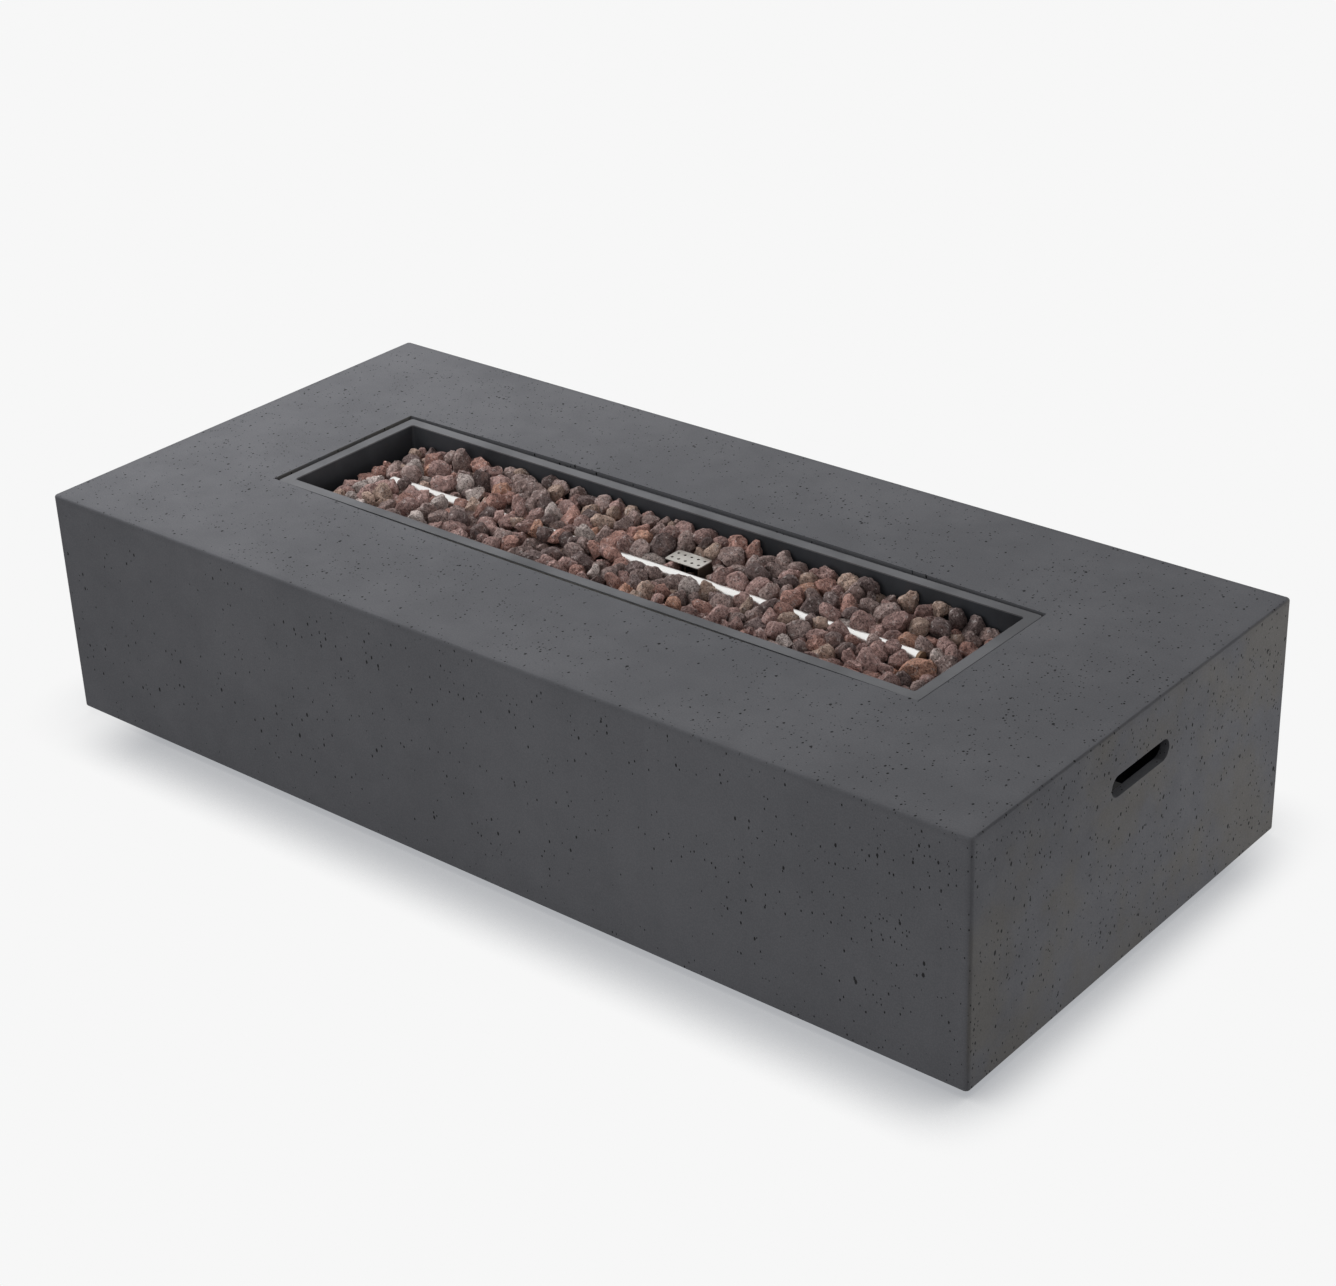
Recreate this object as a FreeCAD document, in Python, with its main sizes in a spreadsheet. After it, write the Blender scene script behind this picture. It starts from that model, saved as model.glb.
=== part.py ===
import FreeCAD, Part
import math
import os
import re
import Sketcher

# Gas fire pit table: a hollow cast shell on four levelling feet, with a drop-in
# burner pan, lava rock, and a control box in the rear wall.
# Frame: X along the table, Y to the rear, Z up, origin on the ground under the middle.

SIZES = [
    # Cast shell
    ("table_length", 1778, "outer length of the shell"),
    ("table_width", 820, "outer width of the shell"),
    ("shell_height", 388, "height of the casting, without the feet"),
    ("wall_thick", 22, "side wall"),
    ("slab_thick", 28, "top slab"),
    ("upright_round", 7, "radius of the four upright outer edges"),
    ("top_round", 4, "radius of the top outer edges"),
    ("bottom_round", 3, "radius of the bottom outer edges"),
    ("block_height", 60, "cast block over each foot"),
    ("block_margin", 28, "block beyond the foot's axis"),
    ("hand_slot_length", 150, "hand slot in each end wall, end to end"),
    ("hand_slot_height", 34, "hand slot, top to bottom"),
    ("hand_slot_drop", 91, "top face to the slot's axis"),
    ("hand_slot_wall", 14, "end wall's thickness round the hand slot"),
    ("hand_slot_border", 25, "thinner wall beyond the hand slot, all round"),
    ("hose_notch_width", 44, "notch for the gas hose in the rear wall"),
    ("hose_notch_height", 40, "height of that notch"),
    # Levelling feet
    ("foot_inset_along", 100, "foot's axis in from the end face"),
    ("foot_inset_across", 75, "foot's axis in from the long face"),
    ("foot_pad_radius", 22, "rubber pad"),
    ("foot_pad_thick", 5, "rubber pad"),
    ("foot_pad_taper", 2, "pad's top smaller in radius"),
    ("foot_plate_radius", 16, "steel plate on the pad"),
    ("foot_plate_thick", 2, "steel plate on the pad"),
    ("foot_nut_across", 19, "hexagon of the foot"),
    ("foot_nut_thick", 5, "hexagon of the foot"),
    ("foot_stud_radius", 5, "foot's screw"),
    ("foot_stud_length", 45, "foot's screw above its hexagon"),
    ("foot_insert_radius", 8, "threaded insert in the block"),
    ("foot_insert_length", 32, "threaded insert in the block"),
    ("stud_clear", 0.2, "stud to insert, all round"),
    # Burner pan
    ("pan_length", 1224, "inside length"),
    ("pan_width", 273, "inside width"),
    ("pan_depth", 84, "rim's top to the floor"),
    ("pan_sheet", 2, "sheet of the pan"),
    ("pan_corner", 5, "inside radius of the pan's corners"),
    ("rim_width", 18.5, "flat rim round the pan"),
    ("rim_drop", 1, "rim's top under the table's top"),
    ("gasket_thick", 5, "ceramic fibre strip under the rim"),
    ("gasket_inset", 3, "strip set back from the rim's edge"),
    ("gasket_clear", 1, "strip to the pan's wall"),
    ("hole_clear", 8, "pan's wall to the hole in the slab"),
    ("recess_clear_along", 6, "rim to the recess's ends, if centred"),
    ("recess_clear_across", 4, "rim to the recess's corners, if centred"),
    ("recess_bow", 7, "outward bow of the recess's long sides"),
    ("recess_shift_along", -4, "recess's centre beside the pan's"),
    ("recess_shift_across", 3, "recess's centre beside the pan's"),
    ("drain_radius", 5, "drain holes in the pan's floor"),
    ("drain_inset_along", 60, "drain holes in from the pan's ends"),
    ("drain_inset_across", 40, "drain holes in from the pan's sides"),
    # Burner
    ("tube_radius", 11, "burner tube, outside"),
    ("tube_wall", 1.2, "burner tube's wall"),
    ("tube_length", 1048, "burner tube without its ends"),
    ("tube_drop", 36, "table's top to the tube's axis"),
    ("port_radius", 1.25, "gas ports"),
    ("port_pitch", 32, "gas ports along the tube"),
    ("port_margin", 40, "first port in from the tube's end"),
    ("port_angle", 30, "ports below the level, in degrees"),
    ("cap_spigot", 8, "end caps inside the tube"),
    ("plug_thick", 5, "flat plug outside the tube"),
    ("saddle_place", 380, "saddles to each side of the middle"),
    ("saddle_width", 20, "saddle's upright, across the table"),
    ("saddle_sheet", 3, "saddle's strip"),
    ("saddle_foot_length", 26, "saddle's foot, along the table"),
    # Gas inlet under the pan
    ("nipple_radius", 8, "inlet pipe, outside"),
    ("nipple_bore", 6, "inlet pipe's bore radius"),
    ("collar_radius", 14, "collar on the pan's floor"),
    ("collar_thick", 3, "collar on the pan's floor"),
    ("washer_radius", 15, "washer under the floor"),
    ("washer_thick", 1.5, "washer under the floor"),
    ("thread_clear", 0.1, "thread to its nut, all round"),
    ("lock_nut_across", 24, "lock nut on the inlet pipe"),
    ("lock_nut_thick", 6, "lock nut on the inlet pipe"),
    ("mixer_gap", 1.5, "lock nut to the air mixer"),
    ("socket_length", 14, "mixer's socket on the inlet pipe"),
    ("socket_radius", 14, "mixer's socket, outside"),
    ("mixer_length", 50, "mixer below its socket"),
    ("mixer_radius", 12, "mixer, outside"),
    ("mixer_base_thick", 6, "mixer's closed lower end"),
    ("mixer_lip", 4, "lip under the shutter"),
    ("window_width", 10, "air windows, across"),
    ("window_height", 26, "air windows, high"),
    ("window_rise", 14, "air windows above the mixer's lower end"),
    ("shutter_clear", 0.2, "shutter round the mixer"),
    ("shutter_sheet", 1.2, "shutter's sleeve"),
    ("shutter_play", 0.3, "shutter to the lips at its ends"),
    ("shutter_tab", 9, "shutter's finger tab, outward"),
    ("tab_width", 4, "shutter's finger tab, across"),
    ("tab_height", 14, "shutter's finger tab, high"),
    ("set_screw_radius", 2, "thumb screw's shank"),
    ("set_screw_length", 8, "thumb screw's shank"),
    ("thumb_radius", 5, "thumb screw's head"),
    ("thumb_thick", 4, "thumb screw's head"),
    ("orifice_across", 14, "orifice's hexagon"),
    ("orifice_thick", 8, "orifice's hexagon"),
    ("orifice_nose_radius", 4, "orifice's nose in the mixer"),
    ("orifice_nose_length", 10, "orifice's nose in the mixer"),
    ("orifice_bore", 0.9, "gas jet's radius"),
    ("spigot_radius", 6, "threaded spigots for the feed tube"),
    ("spigot_length", 8, "threaded spigots for the feed tube"),
    ("feed_radius", 5, "feed tube, outside"),
    ("feed_wall", 1, "feed tube's wall"),
    ("feed_nut_across", 17, "feed tube's nuts"),
    ("feed_nut_length", 14, "feed tube's nuts"),
    # Control box in the rear wall
    ("panel_along", 180, "box's centre along the table"),
    ("panel_rise", 215, "box's centre above the ground"),
    ("panel_border", 16, "flange round the box"),
    ("panel_sheet", 1.5, "sheet of the box"),
    ("panel_sink", 3, "flange behind the rear face"),
    ("panel_clear", 1.5, "flange and box to the casting"),
    ("panel_corner", 5, "radius of the flange's corners"),
    ("tray_length", 180, "inside length of the box"),
    ("tray_height", 88, "inside height of the box"),
    ("tray_depth", 42, "inside depth of the box"),
    ("control_spread", 42, "knob and button to each side"),
    ("panel_screw_radius", 2.5, "box's screws"),
    ("panel_screw_length", 14, "box's screws"),
    ("panel_insert_radius", 3.5, "threaded inserts behind the box's flange"),
    ("panel_insert_length", 11, "threaded inserts behind the box's flange"),
    # Valve and knob
    ("valve_width", 36, "valve block along the table"),
    ("valve_length", 40, "valve block across the table"),
    ("valve_height", 40, "valve block, high"),
    ("neck_radius", 9, "threaded neck through the box"),
    ("neck_length", 7, "neck in front of the box's floor"),
    ("neck_nut_across", 24, "neck's nut"),
    ("neck_nut_thick", 4, "neck's nut"),
    ("stem_radius", 4, "valve stem"),
    ("stem_clear", 0.2, "stem in its bore"),
    ("stem_back", 20, "stem behind the box's floor"),
    ("chamber_radius", 7.5, "spring chamber in the valve"),
    ("chamber_start", 8, "chamber's front behind the block's front"),
    ("chamber_length", 20, "spring chamber in the valve"),
    ("stem_washer_radius", 7, "washer on the stem"),
    ("stem_washer_thick", 2, "washer on the stem"),
    ("stem_washer_play", 0.5, "washer to the chamber's front"),
    ("valve_spring_radius", 6.5, "valve's spring"),
    ("valve_spring_wire", 1.2, "valve's spring"),
    ("valve_spring_length", 9, "valve's spring when pushed"),
    ("knob_gap", 4, "knob to the neck, more than its travel"),
    ("knob_radius", 18, "control knob"),
    ("knob_length", 22, "control knob"),
    ("knob_bore_depth", 16, "stem inside the knob"),
    ("knob_chamfer", 2, "knob's rear edge"),
    ("knob_skirt", 6, "knob's straight skirt"),
    ("knob_taper", 2.5, "knob's shoulder smaller in radius"),
    ("knob_shoulder", 3, "knob's rounded shoulder"),
    ("knob_face_inset", 5, "knob's face smaller in radius"),
    ("flute_radius", 3, "grooves round the knob"),
    ("pointer_width", 4, "knob's pointer ridge"),
    ("pointer_rise", 2, "knob's pointer ridge"),
    ("valve_port_depth", 6, "gas ports into the valve block"),
    ("valve_boss_radius", 10, "valve's inlet boss"),
    ("valve_boss_length", 6, "valve's inlet boss"),
    ("outlet_across", -6, "outlet beside the valve's axis"),
    ("outlet_rise", -8, "outlet above the valve's axis"),
    ("sensor_across", 9, "thermocouple socket beside the axis"),
    ("sensor_rise", 11, "thermocouple socket above the axis"),
    # Igniter
    ("igniter_radius", 12, "igniter housing"),
    ("igniter_length", 58, "housing behind the box's floor"),
    ("igniter_wall", 3.2, "housing's wall"),
    ("igniter_end", 4, "housing's closed rear end"),
    ("igniter_rim_radius", 15, "housing's rim on the box's floor"),
    ("igniter_rim_thick", 3, "housing's rim on the box's floor"),
    ("igniter_nut_across", 28, "nut behind the box's floor"),
    ("igniter_nut_thick", 4, "nut behind the box's floor"),
    ("button_clear", 0.3, "button in the housing"),
    ("button_proud", 10, "button in front of the rim"),
    ("button_inside", 7, "button behind the rim's front"),
    ("button_chamfer", 2, "button's front edge"),
    ("battery_radius", 7.2, "battery"),
    ("battery_length", 43, "battery"),
    ("battery_tip_radius", 2.6, "battery's contact"),
    ("battery_tip_length", 1, "battery's contact"),
    ("button_spring_radius", 6, "button's spring"),
    ("button_spring_length", 2, "button's spring when pushed"),
    ("button_spring_wire", 1, "button's spring"),
    ("lead_radius", 1.6, "ignition wire"),
    # Pilot beside the burner
    ("pilot_along", 60, "pilot hood's centre along the table"),
    ("pilot_across", 50, "pilot hood's centre behind the burner"),
    ("hood_length", 66, "hood's top plate"),
    ("hood_width", 37, "hood's top plate"),
    ("hood_drop", 30, "table's top to the hood's top"),
    ("hood_sheet", 1.2, "hood's sheet"),
    ("hood_corner", 4, "radius of the hood's corners"),
    ("hood_flap", 24, "hood's side flaps, down"),
    ("hood_hole_radius", 2.5, "holes in the hood's top"),
    ("hood_hole_pitch", 13, "holes along the hood"),
    ("hood_hole_rows", 16, "between the two rows of holes"),
    ("hood_play", 3, "bracket's top to the hood's underside"),
    ("bracket_length", 56, "pilot bracket's base"),
    ("bracket_width", 34, "pilot bracket's base"),
    ("bracket_sheet", 1.5, "pilot bracket's sheet"),
    ("bracket_screw_inset_along", 7, "bracket's screws in from its ends"),
    ("bracket_screw_inset_across", 8, "bracket's screws in from its front"),
    ("pilot_spread", 8, "electrode and sensor to each side"),
    ("ceramic_radius", 4.5, "electrode's insulator"),
    ("ceramic_below", 15, "insulator under the pan's floor"),
    ("ceramic_above", 22, "insulator above the pan's floor"),
    ("electrode_radius", 1.4, "electrode"),
    ("electrode_length", 16, "electrode above its insulator"),
    ("sensor_radius", 3, "thermocouple"),
    ("sensor_above", 34, "thermocouple above the pan's floor"),
    ("sensor_tip", 6, "thermocouple's tapered tip"),
    ("sensor_lead_radius", 1.5, "thermocouple's lead"),
    ("lead_hole_radius", 14, "hole in the pan under the pilot"),
    ("small_screw_radius", 2, "small screws"),
    ("small_screw_length", 8, "small screws"),
    ("head_ratio", 1.8, "screw head's radius over the shank's"),
    ("socket_ratio", 1.1, "screw socket's width over the shank's radius"),
    # Gas inlet fitting
    ("fitting_rise", 98, "fitting's hexagon above the ground"),
    ("fitting_across", 22, "fitting's hexagon"),
    ("fitting_thick", 12, "fitting's hexagon"),
    ("fitting_radius", 7.9, "fitting's hose thread"),
    ("fitting_length", 24, "fitting under its hexagon, without the flare"),
    ("fitting_bore", 4, "fitting's bore radius"),
    ("flare_length", 4, "fitting's flared nose"),
    ("flare_lip", 1, "rim of the nose round the bore"),
    ("bulkhead_radius", 9, "fitting's thread in its bracket"),
    ("bulkhead_proud", 1, "that thread beyond the lock nut"),
    ("relief_radius", 7, "groove above the hose thread"),
    ("relief_length", 2, "groove above the hose thread"),
    ("fitting_nut_thick", 5, "fitting's lock nut"),
    ("supply_radius", 6, "pipe from the fitting to the valve"),
    ("supply_wall", 1.2, "that pipe's wall"),
    ("arm_width", 40, "fitting's bracket along the table"),
    ("arm_sheet", 2, "fitting's bracket"),
    ("arm_reach", 18, "bracket beyond the fitting's axis"),
    ("arm_leg", 34, "bracket's leg on the wall"),
    # Lava rock
    ("layer_height", 25, "lower layer of rock on the pan's floor"),
    ("layer_inset", 38, "lower layer in from the pan's ends"),
    ("rock_pitch_along", 37, "upper rocks along the pan"),
    ("rock_rows", 4, "rows of rock to each side of the burner"),
    ("rock_height", 40, "tallest upper rock"),
    ("rock_gap", 0.3, "rock to rock and to the metal"),
    ("rock_end_room", 12, "first rock's middle in from the pan's end, at least"),
    ("pilot_room", 2, "rock to the pilot and its hood, besides the gap"),
]

# Heights and places that follow from the sizes
FOOT_GAP = "(foot_pad_thick + foot_plate_thick + foot_nut_thick)"
TOP = f"({FOOT_GAP} + shell_height)"
REAR = "(table_width / 2)"
FOOT_ALONG = "(table_length / 2 - foot_inset_along)"
FOOT_ACROSS = "(table_width / 2 - foot_inset_across)"
WALL_OUT_LONG = "(pan_length + 2 * pan_sheet)"
WALL_OUT_WIDE = "(pan_width + 2 * pan_sheet)"
RIM_LONG = "(pan_length + 2 * rim_width)"
RIM_WIDE = "(pan_width + 2 * rim_width)"
RIM_TOP = f"({TOP} - rim_drop)"
UNDER_RIM = f"({RIM_TOP} - pan_sheet)"
LEDGE = f"({UNDER_RIM} - gasket_thick)"
FLOOR = f"({RIM_TOP} - pan_depth)"
UNDER_PAN = f"({FLOOR} - pan_sheet)"
TUBE_AXIS = f"({TOP} - tube_drop)"
LOCK_NUT_TOP = f"({UNDER_PAN} - washer_thick)"
SOCKET_TOP = f"({LOCK_NUT_TOP} - lock_nut_thick - mixer_gap)"
SOCKET_BASE = f"({SOCKET_TOP} - socket_length)"
MIXER_BASE = f"({SOCKET_BASE} - mixer_length)"
FLANGE_FRONT = f"({REAR} - panel_sink)"
TRAY_FLOOR = f"({FLANGE_FRONT} - tray_depth)"
TRAY_BACK = f"({TRAY_FLOOR} - panel_sheet)"
PANEL_LONG = "(tray_length + 2 * panel_sheet + 2 * panel_border)"
PANEL_HIGH = "(tray_height + 2 * panel_sheet + 2 * panel_border)"
KNOB_ALONG = "(panel_along - control_spread)"
BUTTON_ALONG = "(panel_along + control_spread)"
VALVE_BACK = f"({TRAY_BACK} - valve_length)"
VALVE_MIDDLE = f"({TRAY_BACK} - valve_length / 2)"
INLET_TOP = "(panel_rise - valve_height / 2 - valve_boss_length)"
OUTLET_ALONG = f"({KNOB_ALONG} + outlet_across)"
OUTLET_RISE = "(panel_rise + outlet_rise)"
BUTTON_RADIUS = "(igniter_radius - igniter_wall - button_clear)"
HOOD_TOP = f"({TOP} - hood_drop)"
PILOT_BACK = "(pilot_across + hood_width / 2)"
LAYER_TOP = f"({FLOOR} + layer_height)"
SCREW_LEVEL = f"({MIXER_BASE} + window_rise + window_height / 2)"
WASHER_FRONT = f"({TRAY_BACK} - chamber_start - stem_washer_play)"
KNOB_BACK = f"({TRAY_FLOOR} + neck_length + knob_gap)"
BUTTON_BACK = f"({TRAY_FLOOR} + igniter_rim_thick - button_inside)"
ELECTRODE_ALONG = "(pilot_along - pilot_spread)"
SENSOR_ALONG = "(pilot_along + pilot_spread)"
FITTING_TIP = "(fitting_rise - fitting_length)"

# The ends of the three bent pieces, the upper end first
FEED_ENDS = (("0", "0", f"({MIXER_BASE} - orifice_thick - spigot_length)"),
             (OUTLET_ALONG, f"({VALVE_BACK} - spigot_length)", OUTLET_RISE))
WIRE_ENDS = ((ELECTRODE_ALONG, "pilot_across", f"({FLOOR} - ceramic_below)"),
             (BUTTON_ALONG, f"({TRAY_BACK} - igniter_length)", "panel_rise"))
LEAD_ENDS = ((SENSOR_ALONG, "pilot_across", f"({FLOOR} - ceramic_below)"),
             (f"({KNOB_ALONG} + sensor_across)", VALVE_BACK, "(panel_rise + sensor_rise)"))

# Their corners: the share of the way along and across, and the drop under the upper end
FEED_CORNERS = ((0, 0, 74), (0.3, 0.22, 96), (0.75, 0.475, 66))
WIRE_CORNERS = ((0, 0, 30), (0.26, 0.204, 56), (0.66, 0.5, 70))
LEAD_CORNERS = ((0, 0, 22), (0.25, 0.175, 34), (0.82, 0.475, 46))
# The straight run into the rear end of each
FEED_RUN = 90
WIRE_RUN = 56
LEAD_RUN = 70
BEND_SHARE = 0.45  # of a run, that the bend at its end takes

# Counts
KNOB_FLUTES = 12
HOOD_COLUMNS = 5

# The upper rocks: planes that shape each, their slopes, and ranges of the sizes as shares
ROCK_PLANES = 12
ROCK_SLOPES = (0.15, 0.95, -0.7)
SLOPE_RANGE = 0.25
TURN_RANGE = 0.4
SPREAD_SHARES = (0.5, 0.64)
REACH_SHARES = (0.84, 1.04)
HEIGHT_SHARES = (0.72, 1)
ALONG_RANGE = 0.34
ACROSS_RANGE = 0.3
ROW_STAGGER = 0.5  # of the pitch, from one row to the next
NEIGHBOUR_PITCHES = 4  # how far off a rock's neighbours are looked for
ROCK_ROOM = 6  # a middle nearer to the pilot's zone than the pitch over this has no rock
HEIGHT_SEED, SPREAD_SEED, REACH_SEED = 3, 5, 7  # keep the drawn sizes apart

NEAR = 0.01  # millimetres between two places that count as one

SIDES = (("left", -1), ("right", 1))
DEPTHS = (("front", -1), ("rear", 1))

DIRECTIONS = {
    "up": FreeCAD.Rotation(),
    "down": FreeCAD.Rotation(FreeCAD.Vector(1, 0, 0), 180),
    "rearward": FreeCAD.Rotation(FreeCAD.Vector(1, 0, 0), -90),
    "forward": FreeCAD.Rotation(FreeCAD.Vector(1, 0, 0), 90),
    "rightward": FreeCAD.Rotation(FreeCAD.Vector(0, 1, 0), 90),
    "leftward": FreeCAD.Rotation(FreeCAD.Vector(0, 1, 0), -90),
}

doc = FreeCAD.newDocument("fire_pit_table")
sheet = doc.addObject("Spreadsheet::Sheet", "sizes")
for row, (name, amount, meaning) in enumerate(SIZES, 1):
    sheet.set(f"A{row}", name)
    sheet.set(f"B{row}", str(amount))
    sheet.setAlias(f"B{row}", name)
    sheet.set(f"C{row}", meaning)
doc.recompute()
size_names = re.compile(r"\b(" + "|".join(name for name, _, _ in SIZES) + r")\b")


def formula(text):
    """A formula of named sizes as an expression on the sheet."""
    return size_names.sub(r"sizes.\1", str(text))


def amount_of(text):
    return float(sheet.evalExpression(formula(text)))


def bind(thing, **formulas):
    for name, text in formulas.items():
        thing.setExpression(name, formula(text))


def place(thing, at, direction="up"):
    thing.Placement = FreeCAD.Placement(FreeCAD.Vector(), DIRECTIONS[direction])
    for letter, text in zip("xyz", at):
        thing.setExpression(f".Placement.Base.{letter}", formula(text))
    return thing


def new(kind, label):
    thing = doc.addObject(kind, re.sub(r"\W", "_", label))
    thing.Label = label
    return thing


# Part primitives and booleans

def rod(label, radius, length, at, direction="up"):
    """A cylinder that starts at a point and runs in a direction."""
    thing = new("Part::Cylinder", label)
    bind(thing, Radius=radius, Height=length)
    return place(thing, at, direction)


def cone(label, low_radius, high_radius, length, at, direction="up"):
    thing = new("Part::Cone", label)
    bind(thing, Radius1=low_radius, Radius2=high_radius, Height=length)
    return place(thing, at, direction)


def hexagon(label, across, length, at, direction="up"):
    thing = new("Part::Prism", label)
    thing.Polygon = 6
    bind(thing, Circumradius=f"({across}) / sqrt(3)", Height=length)
    return place(thing, at, direction)


def block(label, length, width, height, at):
    """A box centred over a point."""
    thing = new("Part::Box", label)
    bind(thing, Length=length, Width=width, Height=height)
    x, y, z = at
    return place(thing, (f"{x} - ({length}) / 2", f"{y} - ({width}) / 2", z))


def fuse(label, *pieces):
    thing = new("Part::MultiFuse", label)
    thing.Shapes = list(pieces)
    thing.Refine = True
    return thing


def cut(label, base, *tools):
    thing = new("Part::Cut", label)
    thing.Base = base
    thing.Tool = tools[0] if len(tools) == 1 else fuse(label + "_tools", *tools)
    return thing


def group(label, pieces):
    thing = new("Part::Compound", label)
    thing.Links = list(pieces)
    return thing


def shape_piece(label, shape):
    thing = new("Part::Feature", label)
    thing.Shape = shape
    thing.Placement = FreeCAD.Placement()
    return thing


def ring(label, outer, bore, length, at, direction="up"):
    solid = rod(label + "_disc", outer, length, at, direction)
    hole = rod(label + "_bore", bore, length, at, direction)
    return cut(label, solid, hole)


def hex_nut(label, across, bore, length, at, direction="up"):
    solid = hexagon(label + "_hexagon", across, length, at, direction)
    hole = rod(label + "_bore", bore, length, at, direction)
    return cut(label, solid, hole)


def screw(label, radius, length, at, direction):
    """A socket screw: its head's underside is at the point and its head looks in a direction."""
    head_height = f"({radius})"
    opposite = {"up": "down", "down": "up", "rearward": "forward", "forward": "rearward",
                "leftward": "rightward", "rightward": "leftward"}[direction]
    shank = rod(label + "_shank", radius, length, at, opposite)
    head = rod(label + "_head", f"head_ratio * ({radius})", head_height, at, direction)
    socket = hexagon(label + "_socket", f"socket_ratio * ({radius})", head_height, at, direction)
    return cut(label, fuse(label + "_blank", shank, head), socket)


# Bodies made from sketches

def new_body(label):
    body = doc.addObject("PartDesign::Body", label)
    body.Label = label
    return body


def sketch(body, role, offset="0"):
    """A sketch on one of the body's own planes, moved along that plane's normal."""
    drawing = body.newObject("Sketcher::SketchObject", body.Label + "_sketch")
    origin_plane = next(f for f in body.Origin.OriginFeatures if f.Role == role)
    drawing.AttachmentSupport = [(origin_plane, "")]
    drawing.MapMode = "FlatFace"
    drawing.setExpression(".AttachmentOffset.Base.z", formula(offset))
    return drawing


def fix_point(drawing, index, corner, x, y):
    """Dimension one point of a sketch from its origin."""
    for kind, text in (("DistanceX", x), ("DistanceY", y)):
        limit = Sketcher.Constraint(kind, -1, 1, index, corner, amount_of(text))
        number = drawing.addConstraint(limit)
        drawing.setExpression(f"Constraints[{number}]", formula(text))


def spot(x, y):
    return FreeCAD.Vector(amount_of(x), amount_of(y), 0)


def draw_polygon(drawing, points):
    spots = [spot(x, y) for x, y in points]
    first = drawing.GeometryCount
    count = len(spots)
    for index in range(count):
        drawing.addGeometry(Part.LineSegment(spots[index], spots[(index + 1) % count]), False)
    for index in range(count):
        follower = first + (index + 1) % count
        drawing.addConstraint(Sketcher.Constraint("Coincident", first + index, 2, follower, 1))
        fix_point(drawing, first + index, 1, *points[index])


def draw_rectangle(drawing, length, width, x="0", y="0"):
    low_x, high_x = f"{x} - ({length}) / 2", f"{x} + ({length}) / 2"
    low_y, high_y = f"{y} - ({width}) / 2", f"{y} + ({width}) / 2"
    corners = [(low_x, low_y), (high_x, low_y), (high_x, high_y), (low_x, high_y)]
    draw_polygon(drawing, corners)


def draw_rounded_rectangle(drawing, length, width, radius, x="0", y="0"):
    """A rectangle with round corners."""
    far_x, far_y = f"({length}) / 2", f"({width}) / 2"
    near_x, near_y = f"({far_x} - ({radius}))", f"({far_y} - ({radius}))"
    # The ends of the four sides, anticlockwise from the front one
    sides = [((-1, near_x, -1, far_y), (1, near_x, -1, far_y)),
             ((1, far_x, -1, near_y), (1, far_x, 1, near_y)),
             ((1, near_x, 1, far_y), (-1, near_x, 1, far_y)),
             ((-1, far_x, 1, near_y), (-1, far_x, -1, near_y))]
    ends = [[(f"{x} + {sx} * {px}", f"{y} + {sy} * {py}") for sx, px, sy, py in side] for side in sides]
    lines = []
    for start, end in ends:
        lines.append(drawing.addGeometry(Part.LineSegment(spot(*start), spot(*end)), False))
    corners = ((1, -1), (1, 1), (-1, 1), (-1, -1))
    for number, (sx, sy) in enumerate(corners):
        start, end = ends[number][1], ends[(number + 1) % 4][0]
        lean = f"({radius}) * {math.sqrt(0.5):.6f}"
        middle = (f"{x} + {sx} * ({near_x} + {lean})", f"{y} + {sy} * ({near_y} + {lean})")
        arc_index = draw_arc(drawing, start, middle, end)
        # An arc drawn anticlockwise keeps its start first
        links = ((lines[number], 2, arc_index, 1), (arc_index, 2, lines[(number + 1) % 4], 1))
        for link in links:
            drawing.addConstraint(Sketcher.Constraint("Coincident", *link))
        centre = f"{x} + {sx} * {near_x}"
        limit = Sketcher.Constraint("DistanceX", -1, 1, arc_index, 3, amount_of(centre))
        constraint = drawing.addConstraint(limit)
        drawing.setExpression(f"Constraints[{constraint}]", formula(centre))
    for line, (start, end) in zip(lines, ends):
        fix_point(drawing, line, 1, *start)
        fix_point(drawing, line, 2, *end)


def draw_circle(drawing, x, y, radius):
    normal = FreeCAD.Vector(0, 0, 1)
    circle = Part.Circle(spot(x, y), normal, amount_of(radius))
    index = drawing.addGeometry(circle, False)
    fix_point(drawing, index, 3, x, y)
    number = drawing.addConstraint(Sketcher.Constraint("Radius", index, amount_of(radius)))
    drawing.setExpression(f"Constraints[{number}]", formula(radius))


def draw_arc(drawing, start, middle, end):
    index = drawing.addGeometry(Part.Arc(spot(*start), spot(*middle), spot(*end)), False)
    return index


def draw_stadium(drawing, x, y, length, height):
    """A slot with round ends, lying along the sketch's X."""
    reach = f"(({length}) / 2 - ({height}) / 2)"
    radius = f"(({height}) / 2)"
    right, left = f"{x} + {reach}", f"{x} - {reach}"
    low, high = f"{y} - {radius}", f"{y} + {radius}"
    bottom = drawing.addGeometry(Part.LineSegment(spot(left, low), spot(right, low)), False)
    right_end = draw_arc(drawing, (right, low), (f"{right} + {radius}", y), (right, high))
    top = drawing.addGeometry(Part.LineSegment(spot(right, high), spot(left, high)), False)
    left_end = draw_arc(drawing, (left, high), (f"{left} - {radius}", y), (left, low))
    links = ((bottom, 2, right_end, 1), (right_end, 2, top, 1),
             (top, 2, left_end, 1), (left_end, 2, bottom, 1))
    for link in links:
        drawing.addConstraint(Sketcher.Constraint("Coincident", *link))
    fix_point(drawing, bottom, 1, left, low)
    fix_point(drawing, bottom, 2, right, low)
    fix_point(drawing, top, 1, right, high)
    fix_point(drawing, top, 2, left, high)
    for arc_index, across in ((right_end, right), (left_end, left)):
        centre_limit = Sketcher.Constraint("DistanceX", -1, 1, arc_index, 3, amount_of(across))
        number = drawing.addConstraint(centre_limit)
        drawing.setExpression(f"Constraints[{number}]", formula(across))


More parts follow.
